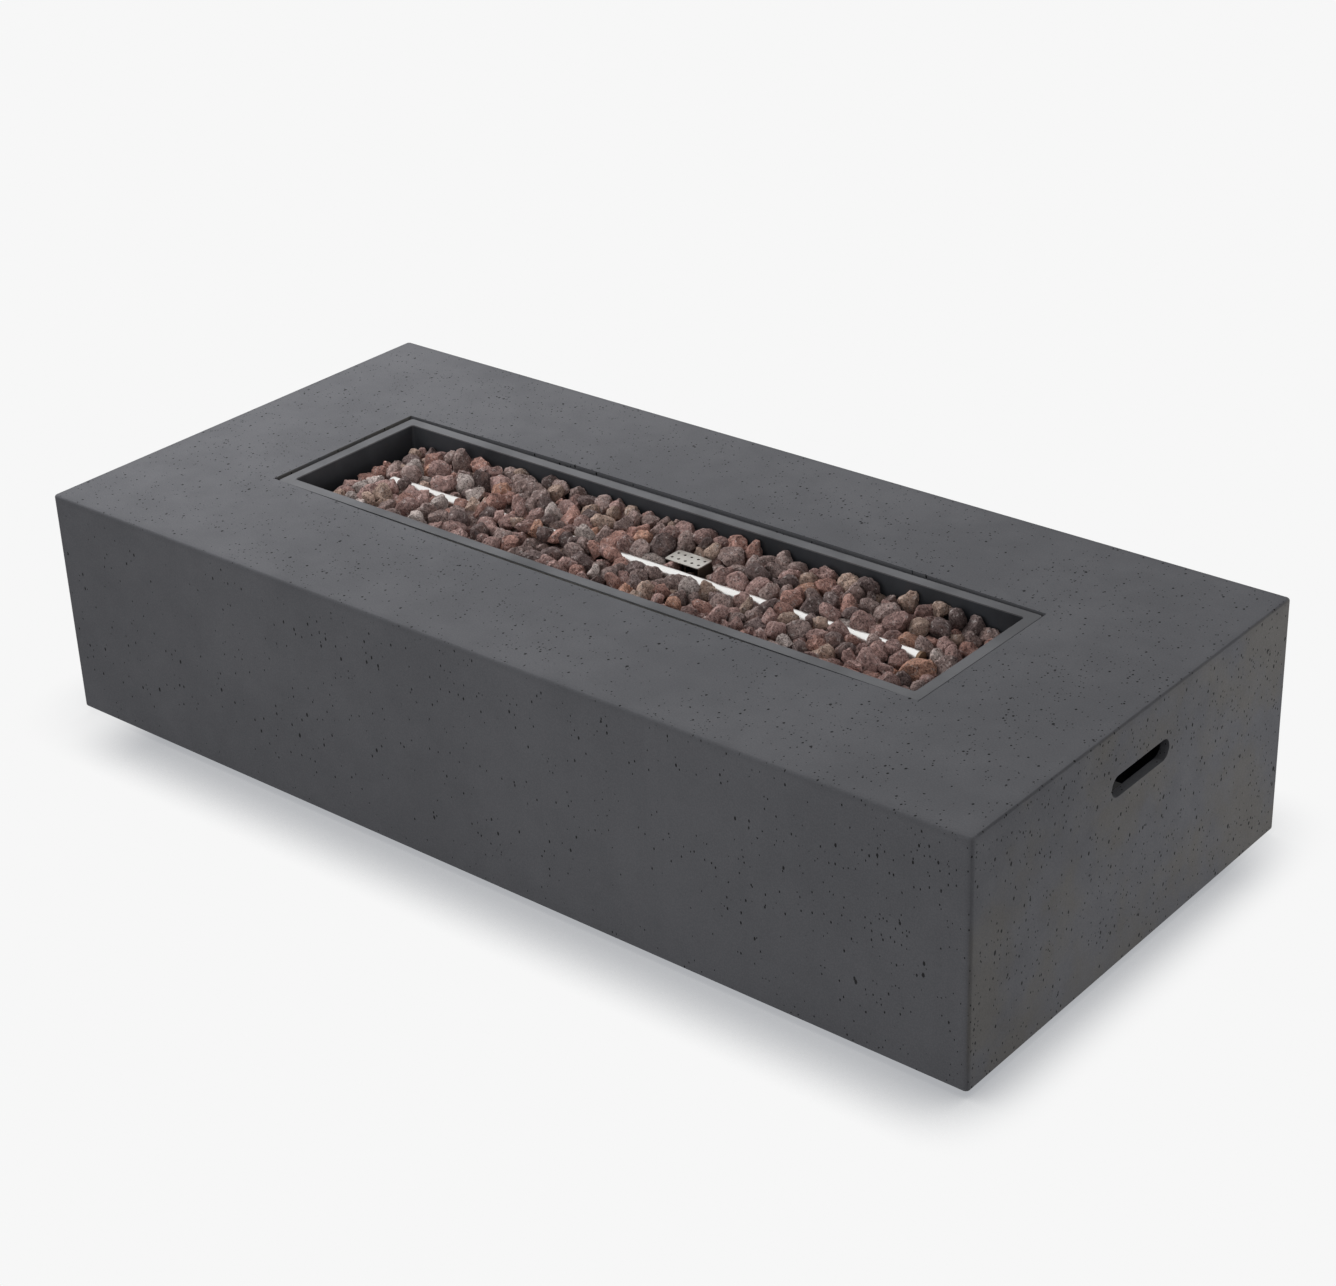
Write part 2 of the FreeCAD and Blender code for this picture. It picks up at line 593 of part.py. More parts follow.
def draw_bowed_rectangle(drawing, length, width, bow, x, y):
    """A rectangle whose long sides bow outwards."""
    low_x, high_x = f"{x} - ({length}) / 2", f"{x} + ({length}) / 2"
    low_y, high_y = f"{y} - ({width}) / 2", f"{y} + ({width}) / 2"
    near = draw_arc(drawing, (low_x, low_y), (x, f"{low_y} - ({bow})"), (high_x, low_y))
    right = drawing.addGeometry(Part.LineSegment(spot(high_x, low_y), spot(high_x, high_y)), False)
    far = draw_arc(drawing, (high_x, high_y), (x, f"{high_y} + ({bow})"), (low_x, high_y))
    left = drawing.addGeometry(Part.LineSegment(spot(low_x, high_y), spot(low_x, low_y)), False)
    links = ((near, 2, right, 1), (right, 2, far, 1), (far, 2, left, 1), (left, 2, near, 1))
    for link in links:
        drawing.addConstraint(Sketcher.Constraint("Coincident", *link))
    fix_point(drawing, right, 1, high_x, low_y)
    fix_point(drawing, right, 2, high_x, high_y)
    fix_point(drawing, left, 1, low_x, high_y)
    fix_point(drawing, left, 2, low_x, low_y)
    radius = f"(({length}) ^ 2 / (8 * ({bow})) + ({bow}) / 2)"
    for arc_index in (near, far):
        number = drawing.addConstraint(Sketcher.Constraint("Radius", arc_index, amount_of(radius)))
        drawing.setExpression(f"Constraints[{number}]", formula(radius))


def pad(body, drawing, length, reverse=False, middle=False):
    feature = body.newObject("PartDesign::Pad", body.Label + "_pad")
    feature.Profile = drawing
    feature.Reversed = reverse
    feature.Midplane = middle
    bind(feature, Length=length)
    doc.recompute()
    return feature


def pocket(body, drawing, length=None, reverse=False, middle=False):
    """Cut a sketch into the body: with no length it cuts right through."""
    before = body.Shape.Volume
    feature = body.newObject("PartDesign::Pocket", body.Label + "_pocket")
    feature.Profile = drawing
    feature.Reversed = reverse
    feature.Midplane = middle
    if length is None:
        feature.Type = "ThroughAll"
    else:
        bind(feature, Length=length)
    doc.recompute()
    if not body.Shape.Volume < before:
        raise ValueError(f"a pocket of {body.Label} cuts nothing")
    return feature


def fillet(body, radius, chosen):
    """Round the edges of the body's last feature that a test picks."""
    tip = body.Tip
    names = [f"Edge{n}" for n, edge in enumerate(tip.Shape.Edges, 1) if chosen(edge)]
    if not names:
        raise ValueError(f"a fillet of {body.Label} finds no edge")
    feature = body.newObject("PartDesign::Fillet", body.Label + "_fillet")
    feature.Base = (tip, names)
    bind(feature, Radius=radius)
    doc.recompute()
    return feature


def upright_at(half_length, half_width, x="0", y="0"):
    """A test for the upright edges at the corners of a rectangle."""
    centre = spot(x, y)
    far_x, far_y = amount_of(half_length), amount_of(half_width)

    def chosen(edge):
        box = edge.BoundBox
        upright = box.XLength < NEAR and box.YLength < NEAR
        corner_x = abs(abs(box.XMin - centre.x) - far_x) < NEAR
        corner_y = abs(abs(box.YMin - centre.y) - far_y) < NEAR
        return upright and corner_x and corner_y
    return chosen


def level_at(height):
    """A test for the edges that lie at one height."""
    level = amount_of(height)

    def chosen(edge):
        box = edge.BoundBox
        return abs(box.ZMin - level) < NEAR and abs(box.ZMax - level) < NEAR
    return chosen


def turned(label, profile, at, direction="up"):
    """A turned piece from its half profile of radius and height pairs."""
    body = new_body(label)
    drawing = sketch(body, "XZ_Plane")
    draw_polygon(drawing, profile)
    feature = body.newObject("PartDesign::Revolution", label + "_turn")
    feature.Profile = drawing
    feature.ReferenceAxis = (drawing, ["V_Axis"])
    feature.Angle = 360
    return place(body, at, direction)


def bent_path(points):
    """Straight runs joined by tangent arcs, each as large as its two runs allow."""
    spots = [FreeCAD.Vector(*(amount_of(text) for text in point)) for point in points]
    edges = []
    radii = []
    last = spots[0]
    for before, here, after in zip(spots, spots[1:], spots[2:]):
        back, ahead = before - here, after - here
        reach = BEND_SHARE * min(back.Length, ahead.Length)
        half_turn = (math.pi - back.getAngle(ahead)) / 2
        back.normalize()
        ahead.normalize()
        start, end = here + back * reach, here + ahead * reach
        radius = reach / math.tan(half_turn)
        bisector = back + ahead
        bisector.normalize()
        middle = here + bisector * (radius / math.cos(half_turn) - radius)
        edges.append(Part.LineSegment(last, start).toShape())
        edges.append(Part.Arc(start, middle, end).toShape())
        radii.append(round(radius, 1))
        last = end
    edges.append(Part.LineSegment(last, spots[-1]).toShape())
    return Part.Wire(edges), radii


def hung_route(ends, corners, run):
    """The points of a bent piece: straight down from its upper end, and level into its rear end."""
    (x, y, z), (far_x, far_y, far_z) = ends
    points = [(f"{x} + {along} * ({far_x} - {x})", f"{y} + {across} * ({far_y} - {y})", f"{z} - {drop}")
              for along, across, drop in corners]
    return [ends[0], *points, (far_x, f"{far_y} - {run}", far_z), ends[1]]


def swept(path, radius):
    start = path.Edges[0]
    heading = start.tangentAt(start.FirstParameter)
    circle = Part.Circle(start.valueAt(start.FirstParameter), heading, radius)
    profile = Part.Wire([circle.toShape()])
    return path.makePipeShell([profile], True, False)


def bent_tube(label, points, radius, wall=None):
    """A tube, or a solid lead where it has no wall, along a bent path."""
    path, radii = bent_path(points)
    outer = amount_of(radius)
    solid = swept(path, outer)
    expected = math.pi * outer ** 2 * path.Length
    print(f"{label}: length {path.Length:.1f}, radii {radii},",
          f"volume over expected {solid.Volume / expected:.4f}")
    if wall is not None:
        solid = solid.cut(swept(path, outer - amount_of(wall)))
    return shape_piece(label, solid)


# Cast shell

def concrete_body():
    body = new_body("concrete_body")
    outline = sketch(body, "XY_Plane", FOOT_GAP)
    draw_rectangle(outline, "table_length", "table_width")
    pad(body, outline, "shell_height")
    fillet(body, "upright_round", upright_at("table_length / 2", "table_width / 2"))
    fillet(body, "top_round", level_at(TOP))
    fillet(body, "bottom_round", level_at(FOOT_GAP))
    inner_x = "(table_length / 2 - wall_thick)"
    inner_y = "(table_width / 2 - wall_thick)"
    block_x = f"({FOOT_ALONG} - block_margin)"
    block_y = f"({FOOT_ACROSS} - block_margin)"
    quarter = [(inner_x, block_y), (block_x, block_y), (block_x, inner_y)]
    rear_right = quarter
    rear_left = [(f"-{x}", y) for x, y in reversed(quarter)]
    front_left = [(f"-{x}", f"-{y}") for x, y in quarter]
    front_right = [(x, f"-{y}") for x, y in reversed(quarter)]
    lower_cavity = sketch(body, "XY_Plane", FOOT_GAP)
    draw_polygon(lower_cavity, rear_right + rear_left + front_left + front_right)
    pocket(body, lower_cavity, "block_height", reverse=True)
    upper_cavity = sketch(body, "XY_Plane", f"{FOOT_GAP} + block_height")
    draw_rectangle(upper_cavity, f"2 * {inner_x}", f"2 * {inner_y}")
    pocket(body, upper_cavity, "shell_height - slab_thick - block_height", reverse=True)
    recess = sketch(body, "XY_Plane", TOP)
    draw_bowed_rectangle(recess, f"{RIM_LONG} + 2 * recess_clear_along",
                         f"{RIM_WIDE} + 2 * recess_clear_across",
                         "recess_bow", "recess_shift_along", "recess_shift_across")
    pocket(body, recess, f"{TOP} - {LEDGE}")
    hole = sketch(body, "XY_Plane", TOP)
    draw_rectangle(hole, f"{WALL_OUT_LONG} + 2 * hole_clear", f"{WALL_OUT_WIDE} + 2 * hole_clear",
                   "recess_shift_along", "recess_shift_across")
    pocket(body, hole, "slab_thick")
    hand_slots = sketch(body, "YZ_Plane")
    draw_stadium(hand_slots, "0", f"{TOP} - hand_slot_drop", "hand_slot_length", "hand_slot_height")
    pocket(body, hand_slots, middle=True)
    thinned = sketch(body, "YZ_Plane")
    draw_stadium(thinned, "0", f"{TOP} - hand_slot_drop", "hand_slot_length + 2 * hand_slot_border",
                 "hand_slot_height + 2 * hand_slot_border")
    pocket(body, thinned, "table_length - 2 * hand_slot_wall", middle=True)
    panel_seat = sketch(body, "XZ_Plane", f"-({FLANGE_FRONT} - panel_sheet)")
    draw_rectangle(panel_seat, f"{PANEL_LONG} + 2 * panel_clear", f"{PANEL_HIGH} + 2 * panel_clear",
                   "panel_along", "panel_rise")
    pocket(body, panel_seat, "panel_sink + panel_sheet")
    panel_hole = sketch(body, "XZ_Plane")
    hole_long = "tray_length + 2 * panel_sheet + 2 * panel_clear"
    hole_high = "tray_height + 2 * panel_sheet + 2 * panel_clear"
    draw_rectangle(panel_hole, hole_long, hole_high, "panel_along", "panel_rise")
    pocket(body, panel_hole)
    notch = sketch(body, "XZ_Plane")
    draw_rectangle(notch, "hose_notch_width", "2 * hose_notch_height", KNOB_ALONG, FOOT_GAP)
    pocket(body, notch)
    insert_holes = sketch(body, "XY_Plane", FOOT_GAP)
    for _, side in SIDES:
        for _, depth in DEPTHS:
            centre = (f"{side} * {FOOT_ALONG}", f"{depth} * {FOOT_ACROSS}")
            draw_circle(insert_holes, *centre, "foot_insert_radius")
    pocket(body, insert_holes, "block_height", reverse=True)
    panel_holes = sketch(body, "XZ_Plane", f"-({FLANGE_FRONT} - panel_sheet)")
    for x, z in panel_screw_places():
        draw_circle(panel_holes, x, z, "panel_insert_radius")
    pocket(body, panel_holes, "panel_screw_length", reverse=True)
    arm_holes = sketch(body, "XZ_Plane", f"-({REAR} - wall_thick)")
    for x, z in arm_screw_places():
        draw_circle(arm_holes, x, z, "small_screw_radius")
    pocket(body, arm_holes, "small_screw_length")
    return body


# Levelling feet

def foot_inserts():
    inserts = []
    for end, side in SIDES:
        for face, depth in DEPTHS:
            at = (f"{side} * {FOOT_ALONG}", f"{depth} * {FOOT_ACROSS}", FOOT_GAP)
            inserts.append(ring(f"insert_{face}_{end}", "foot_insert_radius",
                                "foot_stud_radius + stud_clear", "foot_insert_length", at))
    return group("foot_inserts", inserts)


def foot(face, end, side, depth):
    """One levelling foot: its rubber pad, and its screw with plate and hexagon."""
    x, y = f"{side} * {FOOT_ALONG}", f"{depth} * {FOOT_ACROSS}"
    rubber = cone(f"foot_pad_{face}_{end}", "foot_pad_radius", "foot_pad_radius - foot_pad_taper",
                  "foot_pad_thick", (x, y, "0"))
    label = f"foot_stud_{face}_{end}"
    plate = rod(label + "_plate", "foot_plate_radius", "foot_plate_thick", (x, y, "foot_pad_thick"))
    hexagon_base = "foot_pad_thick + foot_plate_thick"
    nut = hexagon(label + "_nut", "foot_nut_across", "foot_nut_thick", (x, y, hexagon_base))
    shank = rod(label + "_shank", "foot_stud_radius", "foot_stud_length", (x, y, FOOT_GAP))
    return [rubber, fuse(label, plate, nut, shank)]


# Burner pan

def burner_pan():
    body = new_body("burner_pan")
    walls = sketch(body, "XY_Plane", UNDER_RIM)
    draw_rounded_rectangle(walls, WALL_OUT_LONG, WALL_OUT_WIDE, "pan_corner + pan_sheet")
    pad(body, walls, "pan_depth", reverse=True)
    well = sketch(body, "XY_Plane", UNDER_RIM)
    draw_rounded_rectangle(well, "pan_length", "pan_width", "pan_corner")
    pocket(body, well, "pan_depth - pan_sheet")
    holes = sketch(body, "XY_Plane", FLOOR)
    draw_circle(holes, "0", "0", "nipple_radius + thread_clear")
    draw_circle(holes, "pilot_along", "pilot_across", "lead_hole_radius")
    for _, side in SIDES:
        draw_circle(holes, f"{side} * saddle_place", "0", "small_screw_radius")
        for _, depth in DEPTHS:
            draw_circle(holes, f"{side} * (pan_length / 2 - drain_inset_along)",
                        f"{depth} * (pan_width / 2 - drain_inset_across)", "drain_radius")
    for x, y in bracket_screw_places():
        draw_circle(holes, x, y, "small_screw_radius")
    pocket(body, holes, "pan_sheet")
    return body


def pan_rim():
    """The flat frame welded on the pan's walls, that hangs it in the slab."""
    body = new_body("pan_rim")
    outline = sketch(body, "XY_Plane", UNDER_RIM)
    draw_rounded_rectangle(outline, RIM_LONG, RIM_WIDE, "pan_corner")
    pad(body, outline, "pan_sheet")
    inside = sketch(body, "XY_Plane", UNDER_RIM)
    draw_rounded_rectangle(inside, "pan_length", "pan_width", "pan_corner")
    pocket(body, inside, "pan_sheet", reverse=True)
    return body


def pan_gasket():
    body = new_body("pan_gasket")
    outline = sketch(body, "XY_Plane", LEDGE)
    draw_rectangle(outline, f"{RIM_LONG} - 2 * gasket_inset", f"{RIM_WIDE} - 2 * gasket_inset")
    pad(body, outline, "gasket_thick")
    inside = sketch(body, "XY_Plane", LEDGE)
    draw_rectangle(inside, f"{WALL_OUT_LONG} + 2 * gasket_clear", f"{WALL_OUT_WIDE} + 2 * gasket_clear")
    pocket(body, inside, "gasket_thick", reverse=True)
    return body


# Burner

def burner_tube():
    label = "burner_tube"
    start = ("-tube_length / 2", "0", TUBE_AXIS)
    outer = rod(label + "_outer", "tube_radius", "tube_length", start, "rightward")
    bore = rod(label + "_bore", "tube_radius - tube_wall", "tube_length", start, "rightward")
    feed_hole = rod(label + "_feed", "nipple_bore", "tube_radius", ("0", "0", TUBE_AXIS), "down")
    run = amount_of("tube_length - 2 * port_margin")
    count = int(run / amount_of("port_pitch")) + 1
    ports = []
    for index in range(count):
        x = f"({index} - {(count - 1) / 2}) * port_pitch"
        for face, depth in DEPTHS:
            port = rod(f"port_{face}_{index}", "port_radius", "tube_radius + 1", (x, "0", TUBE_AXIS))
            tilt = amount_of("90 + port_angle") * -depth
            port.Placement.Rotation = FreeCAD.Rotation(FreeCAD.Vector(1, 0, 0), tilt)
            ports.append(port)
    return cut(label, outer, bore, feed_hole, *ports)


def burner_end_cap():
    label = "burner_end_cap"
    at = ("-tube_length / 2", "0", TUBE_AXIS)
    dome = new("Part::Sphere", label + "_dome")
    bind(dome, Radius="tube_radius")
    dome.Angle1 = 0
    place(dome, at, "leftward")
    spigot = rod(label + "_spigot", "tube_radius - tube_wall", "cap_spigot", at, "rightward")
    return fuse(label, dome, spigot)


def burner_end_plug():
    label = "burner_end_plug"
    at = ("tube_length / 2", "0", TUBE_AXIS)
    disc = rod(label + "_disc", "tube_radius", "plug_thick", at, "rightward")
    spigot = rod(label + "_spigot", "tube_radius - tube_wall", "cap_spigot", at, "leftward")
    return fuse(label, disc, spigot)


def burner_saddles():
    saddles = []
    for end, side in SIDES:
        label = f"saddle_{end}"
        x = f"{side} * saddle_place"
        # The upright stands at the inner end of the foot, clear of its screw
        upright_x = f"{side} * (saddle_place - saddle_foot_length / 2 + saddle_sheet / 2)"
        base = block(label + "_foot", "saddle_foot_length", "saddle_width", "saddle_sheet", (x, "0", FLOOR))
        upright = block(label + "_upright", "saddle_sheet", "saddle_width",
                        f"{TUBE_AXIS} - {FLOOR} - tube_radius / 2", (upright_x, "0", FLOOR))
        seat = rod(label + "_seat", "tube_radius", "2 * saddle_foot_length",
                   (f"{x} - saddle_foot_length", "0", TUBE_AXIS), "rightward")
        hole = rod(label + "_hole", "small_screw_radius", "saddle_sheet", (x, "0", FLOOR))
        saddles.append(cut(label, fuse(label + "_blank", base, upright), seat, hole))
    return group("burner_saddles", saddles)


def saddle_screws():
    length = "saddle_sheet + small_screw_length"
    return group("saddle_screws", [
        screw(f"saddle_screw_{end}", "small_screw_radius", length,
              (f"{side} * saddle_place", "0", f"{FLOOR} + saddle_sheet"), "up")
        for end, side in SIDES])


def burner_inlet_pipe():
    label = "burner_inlet_pipe"
    low = f"({SOCKET_BASE} + 1)"
    length = f"({TUBE_AXIS} - {low})"
    pipe = rod(label + "_pipe", "nipple_radius", length, ("0", "0", low))
    collar = rod(label + "_collar", "collar_radius", "collar_thick", ("0", "0", FLOOR))
    bore = rod(label + "_bore", "nipple_bore", length, ("0", "0", low))
    seat = rod(label + "_seat", "tube_radius", "4 * tube_radius",
               ("-2 * tube_radius", "0", TUBE_AXIS), "rightward")
    return cut(label, fuse(label + "_blank", pipe, collar), bore, seat)


def inlet_washer():
    return ring("inlet_washer", "washer_radius", "nipple_radius + thread_clear", "washer_thick",
                ("0", "0", LOCK_NUT_TOP))


def inlet_lock_nut():
    return hex_nut("inlet_lock_nut", "lock_nut_across", "nipple_radius + thread_clear",
                   "lock_nut_thick", ("0", "0", LOCK_NUT_TOP), "down")


def air_windows(label):
    return block(label, "window_width", "4 * mixer_radius", "window_height",
                 ("0", "0", f"{MIXER_BASE} + window_rise"))


def air_mixer():
    label = "air_mixer"
    socket = rod(label + "_socket", "socket_radius", "socket_length", ("0", "0", SOCKET_BASE))
    barrel = rod(label + "_barrel", "mixer_radius", "mixer_length", ("0", "0", MIXER_BASE))
    lip = rod(label + "_lip", "socket_radius", "mixer_lip", ("0", "0", MIXER_BASE))
    blank = fuse(label + "_blank", socket, barrel, lip)
    bore_base = f"({MIXER_BASE} + mixer_base_thick)"
    bore = rod(label + "_bore", "nipple_radius + thread_clear", f"{SOCKET_TOP} - {bore_base}",
               ("0", "0", bore_base))
    jet_hole = rod(label + "_jet_hole", "orifice_nose_radius", "mixer_base_thick", ("0", "0", MIXER_BASE))
    return cut(label, blank, bore, jet_hole, air_windows(label + "_windows"))


def air_shutter():
    label = "air_shutter"
    low = f"({MIXER_BASE} + mixer_lip + shutter_play)"
    length = f"({SOCKET_BASE} - shutter_play - {low})"
    inner = "(mixer_radius + shutter_clear)"
    outer = f"({inner} + shutter_sheet)"
    sleeve = rod(label + "_sleeve", outer, length, ("0", "0", low))
    tab_x = f"{inner} + (shutter_sheet + shutter_tab) / 2"
    tab_z = f"{low} + {length} / 2 - tab_height / 2"
    tab = block(label + "_tab", "shutter_sheet + shutter_tab", "tab_width", "tab_height",
                (tab_x, "0", tab_z))
    bore = rod(label + "_bore", inner, length, ("0", "0", low))
    screw_hole = rod(label + "_screw_hole", "set_screw_radius", "2 * mixer_radius",
                     ("0", "0", SCREW_LEVEL), "leftward")
    blank = fuse(label + "_blank", sleeve, tab)
    return cut(label, blank, bore, screw_hole, air_windows(label + "_windows"))


def shutter_screw():
    label = "shutter_screw"
    tip = "-(mixer_radius + shutter_clear)"
    shank = rod(label + "_shank", "set_screw_radius", "set_screw_length", (tip, "0", SCREW_LEVEL), "leftward")
    head = rod(label + "_head", "thumb_radius", "thumb_thick",
               (f"{tip} - set_screw_length", "0", SCREW_LEVEL), "leftward")
    return fuse(label, shank, head)


def gas_orifice():
    label = "gas_orifice"
    hex_part = hexagon(label + "_hexagon", "orifice_across", "orifice_thick", ("0", "0", MIXER_BASE), "down")
    nose = rod(label + "_nose", "orifice_nose_radius", "orifice_nose_length", ("0", "0", MIXER_BASE))
    spigot = rod(label + "_spigot", "spigot_radius", "spigot_length",
                 ("0", "0", f"{MIXER_BASE} - orifice_thick"), "down")
    jet_low = f"({MIXER_BASE} - orifice_thick - spigot_length)"
    jet = rod(label + "_jet", "orifice_bore", "orifice_thick + spigot_length + orifice_nose_length",
              ("0", "0", jet_low))
    return cut(label, fuse(label + "_blank", hex_part, nose, spigot), jet)


def gas_feed_tube():
    route = hung_route(FEED_ENDS, FEED_CORNERS, FEED_RUN)
    return bent_tube("gas_feed_tube", route, "feed_radius", "feed_wall")


def feed_tube_nuts():
    nuts = []
    for label, (x, y, z), direction in (("orifice_nut", FEED_ENDS[0], "down"),
                                        ("outlet_nut", FEED_ENDS[1], "forward")):
        # Each nut reaches back over its spigot and forward over the tube
        if direction == "down":
            start = (x, y, f"{z} + spigot_length")
        else:
            start = (x, f"{y} + spigot_length", z)
        solid = hexagon(label + "_hexagon", "feed_nut_across", "feed_nut_length", start, direction)
        thread = rod(label + "_thread", "spigot_radius", "spigot_length", start, direction)
        bore = rod(label + "_bore", "feed_radius", "feed_nut_length", start, direction)
        nuts.append(cut(label, solid, thread, bore))
    return group("feed_tube_nuts", nuts)


# Control box

def panel_screw_places():
    reach_x = f"({PANEL_LONG} / 2 - panel_border / 2)"
    reach_z = f"({PANEL_HIGH} / 2 - panel_border / 2)"
    return [(f"panel_along + {side} * {reach_x}", f"panel_rise + {depth} * {reach_z}")
            for _, side in SIDES for _, depth in DEPTHS]


def control_box():
    body = new_body("control_box")
    front = f"-{FLANGE_FRONT}"
    flange = sketch(body, "XZ_Plane", front)
    draw_rectangle(flange, PANEL_LONG, PANEL_HIGH, "panel_along", "panel_rise")
    pad(body, flange, "panel_sheet")
    tray = sketch(body, "XZ_Plane", front)
    draw_rectangle(tray, "tray_length + 2 * panel_sheet", "tray_height + 2 * panel_sheet",
                   "panel_along", "panel_rise")
    pad(body, tray, "tray_depth + panel_sheet")
    inside = sketch(body, "XZ_Plane", front)
    draw_rectangle(inside, "tray_length", "tray_height", "panel_along", "panel_rise")
    pocket(body, inside, "tray_depth", reverse=True)
    round_flange(body)
    holes = sketch(body, "XZ_Plane", front)
    draw_circle(holes, KNOB_ALONG, "panel_rise", "neck_radius + thread_clear")
    draw_circle(holes, BUTTON_ALONG, "panel_rise", "igniter_radius + thread_clear")
    for x, z in panel_screw_places():
        draw_circle(holes, x, z, "panel_screw_radius + thread_clear")
    pocket(body, holes, reverse=True)
    return body


def round_flange(body):
    """Round the four corners of the box's flange."""
    centre_x, centre_z = amount_of("panel_along"), amount_of("panel_rise")
    half_x, half_z = amount_of(f"{PANEL_LONG} / 2"), amount_of(f"{PANEL_HIGH} / 2")

    def chosen(edge):
        box = edge.BoundBox
        across = box.XLength < NEAR and box.ZLength < NEAR
        at_x = abs(abs(box.XMin - centre_x) - half_x) < NEAR
        at_z = abs(abs(box.ZMin - centre_z) - half_z) < NEAR
        return across and at_x and at_z
    fillet(body, "panel_corner", chosen)


def control_box_screws():
    return group("control_box_screws", [
        screw(f"panel_screw_{number}", "panel_screw_radius", "panel_screw_length",
              (x, FLANGE_FRONT, z), "rearward")
        for number, (x, z) in enumerate(panel_screw_places(), 1)])


def control_box_inserts():
    behind = f"({FLANGE_FRONT} - panel_sheet)"
    return group("control_box_inserts", [
        ring(f"panel_insert_{number}", "panel_insert_radius", "panel_screw_radius + thread_clear",
             "panel_insert_length", (x, behind, z), "forward")
        for number, (x, z) in enumerate(panel_screw_places(), 1)])


# Valve and knob

def valve_body():
    label = "valve_body"
    core = block(label + "_core", "valve_width", "valve_length", "valve_height",
                 (KNOB_ALONG, VALVE_MIDDLE, "panel_rise - valve_height / 2"))
    neck = rod(label + "_neck", "neck_radius", "neck_length + panel_sheet",
               (KNOB_ALONG, TRAY_BACK, "panel_rise"), "rearward")
    boss = rod(label + "_boss", "valve_boss_radius", "valve_boss_length",
               (KNOB_ALONG, VALVE_MIDDLE, "panel_rise - valve_height / 2"), "down")
    outlet = rod(label + "_outlet", "spigot_radius", "spigot_length",
                 (OUTLET_ALONG, VALVE_BACK, OUTLET_RISE), "forward")
    blank = fuse(label + "_blank", core, neck, boss, outlet)
    stem_bore = rod(label + "_stem_bore", "stem_radius + stem_clear",
                    "neck_length + panel_sheet + chamber_start",
                    (KNOB_ALONG, f"{TRAY_FLOOR} + neck_length", "panel_rise"), "forward")
    chamber = rod(label + "_chamber", "chamber_radius", "chamber_length",
                  (KNOB_ALONG, f"{TRAY_BACK} - chamber_start", "panel_rise"), "forward")
    inlet_bore = rod(label + "_inlet_bore", "supply_radius - supply_wall",
                     "valve_boss_length + valve_port_depth", (KNOB_ALONG, VALVE_MIDDLE, INLET_TOP))
    outlet_bore = rod(label + "_outlet_bore", "feed_radius - feed_wall", "spigot_length + valve_port_depth",
                      (OUTLET_ALONG, f"{VALVE_BACK} - spigot_length", OUTLET_RISE), "rearward")
    return cut(label, blank, stem_bore, chamber, inlet_bore, outlet_bore)


def valve_nut():
    return hex_nut("valve_nut", "neck_nut_across", "neck_radius + thread_clear", "neck_nut_thick",
                   (KNOB_ALONG, TRAY_FLOOR, "panel_rise"), "rearward")


def stem_washer():
    return ring("stem_washer", "stem_washer_radius", "stem_radius + thread_clear",
                "stem_washer_thick", (KNOB_ALONG, WASHER_FRONT, "panel_rise"), "forward")


def valve_spring():
    return ring("valve_spring", "valve_spring_radius", "valve_spring_radius - valve_spring_wire",
                "valve_spring_length",
                (KNOB_ALONG, f"{WASHER_FRONT} - stem_washer_thick", "panel_rise"), "forward")


def valve_stem():
    start = f"({TRAY_FLOOR} - stem_back)"
    length = f"{KNOB_BACK} + knob_bore_depth - {start}"
    return rod("valve_stem", "stem_radius", length, (KNOB_ALONG, start, "panel_rise"), "rearward")


def control_knob():
    label = "control_knob"
    profile = [("0", "0"), ("knob_radius - knob_chamfer", "0"), ("knob_radius", "knob_chamfer"),
               ("knob_radius", "knob_skirt"), ("knob_radius - knob_taper", "knob_length - knob_shoulder"),
               ("knob_radius - knob_face_inset", "knob_length"), ("0", "knob_length")]
    dome = turned(label + "_dome", profile, (KNOB_ALONG, KNOB_BACK, "panel_rise"), "rearward")
    front = f"({KNOB_BACK} + knob_length)"
    pointer = block(label + "_pointer", "pointer_width", "2 * pointer_rise", "knob_radius - knob_skirt",
                    (KNOB_ALONG, front, "panel_rise"))
    stem_bore = rod(label + "_stem_bore", "stem_radius", "knob_bore_depth",
                    (KNOB_ALONG, KNOB_BACK, "panel_rise"), "rearward")
    flutes = []
    for index in range(KNOB_FLUTES):
        turn = 2 * math.pi * (index + 0.5) / KNOB_FLUTES
        x = f"{KNOB_ALONG} + {math.sin(turn):.5f} * (knob_radius + flute_radius / 2)"
        z = f"panel_rise + {math.cos(turn):.5f} * (knob_radius + flute_radius / 2)"
        flutes.append(rod(f"{label}_flute_{index}", "flute_radius", "knob_length",
                          (x, f"{KNOB_BACK} + knob_skirt", z), "rearward"))
    return cut(label, fuse(label + "_blank", dome, pointer), stem_bore, *flutes)


# Igniter

def igniter_housing():
    label = "igniter_housing"
    barrel = rod(label + "_barrel", "igniter_radius", "igniter_length + panel_sheet",
                 (BUTTON_ALONG, TRAY_FLOOR, "panel_rise"), "forward")
    rim = rod(label + "_rim", "igniter_rim_radius", "igniter_rim_thick",
              (BUTTON_ALONG, TRAY_FLOOR, "panel_rise"), "rearward")
    bore = rod(label + "_bore", "igniter_radius - igniter_wall",
               "igniter_rim_thick + panel_sheet + igniter_length - igniter_end",
               (BUTTON_ALONG, f"{TRAY_FLOOR} + igniter_rim_thick", "panel_rise"), "forward")
    return cut(label, fuse(label + "_blank", barrel, rim), bore)


def igniter_nut():
    return hex_nut("igniter_nut", "igniter_nut_across", "igniter_radius + thread_clear",
                   "igniter_nut_thick", (BUTTON_ALONG, TRAY_BACK, "panel_rise"), "forward")


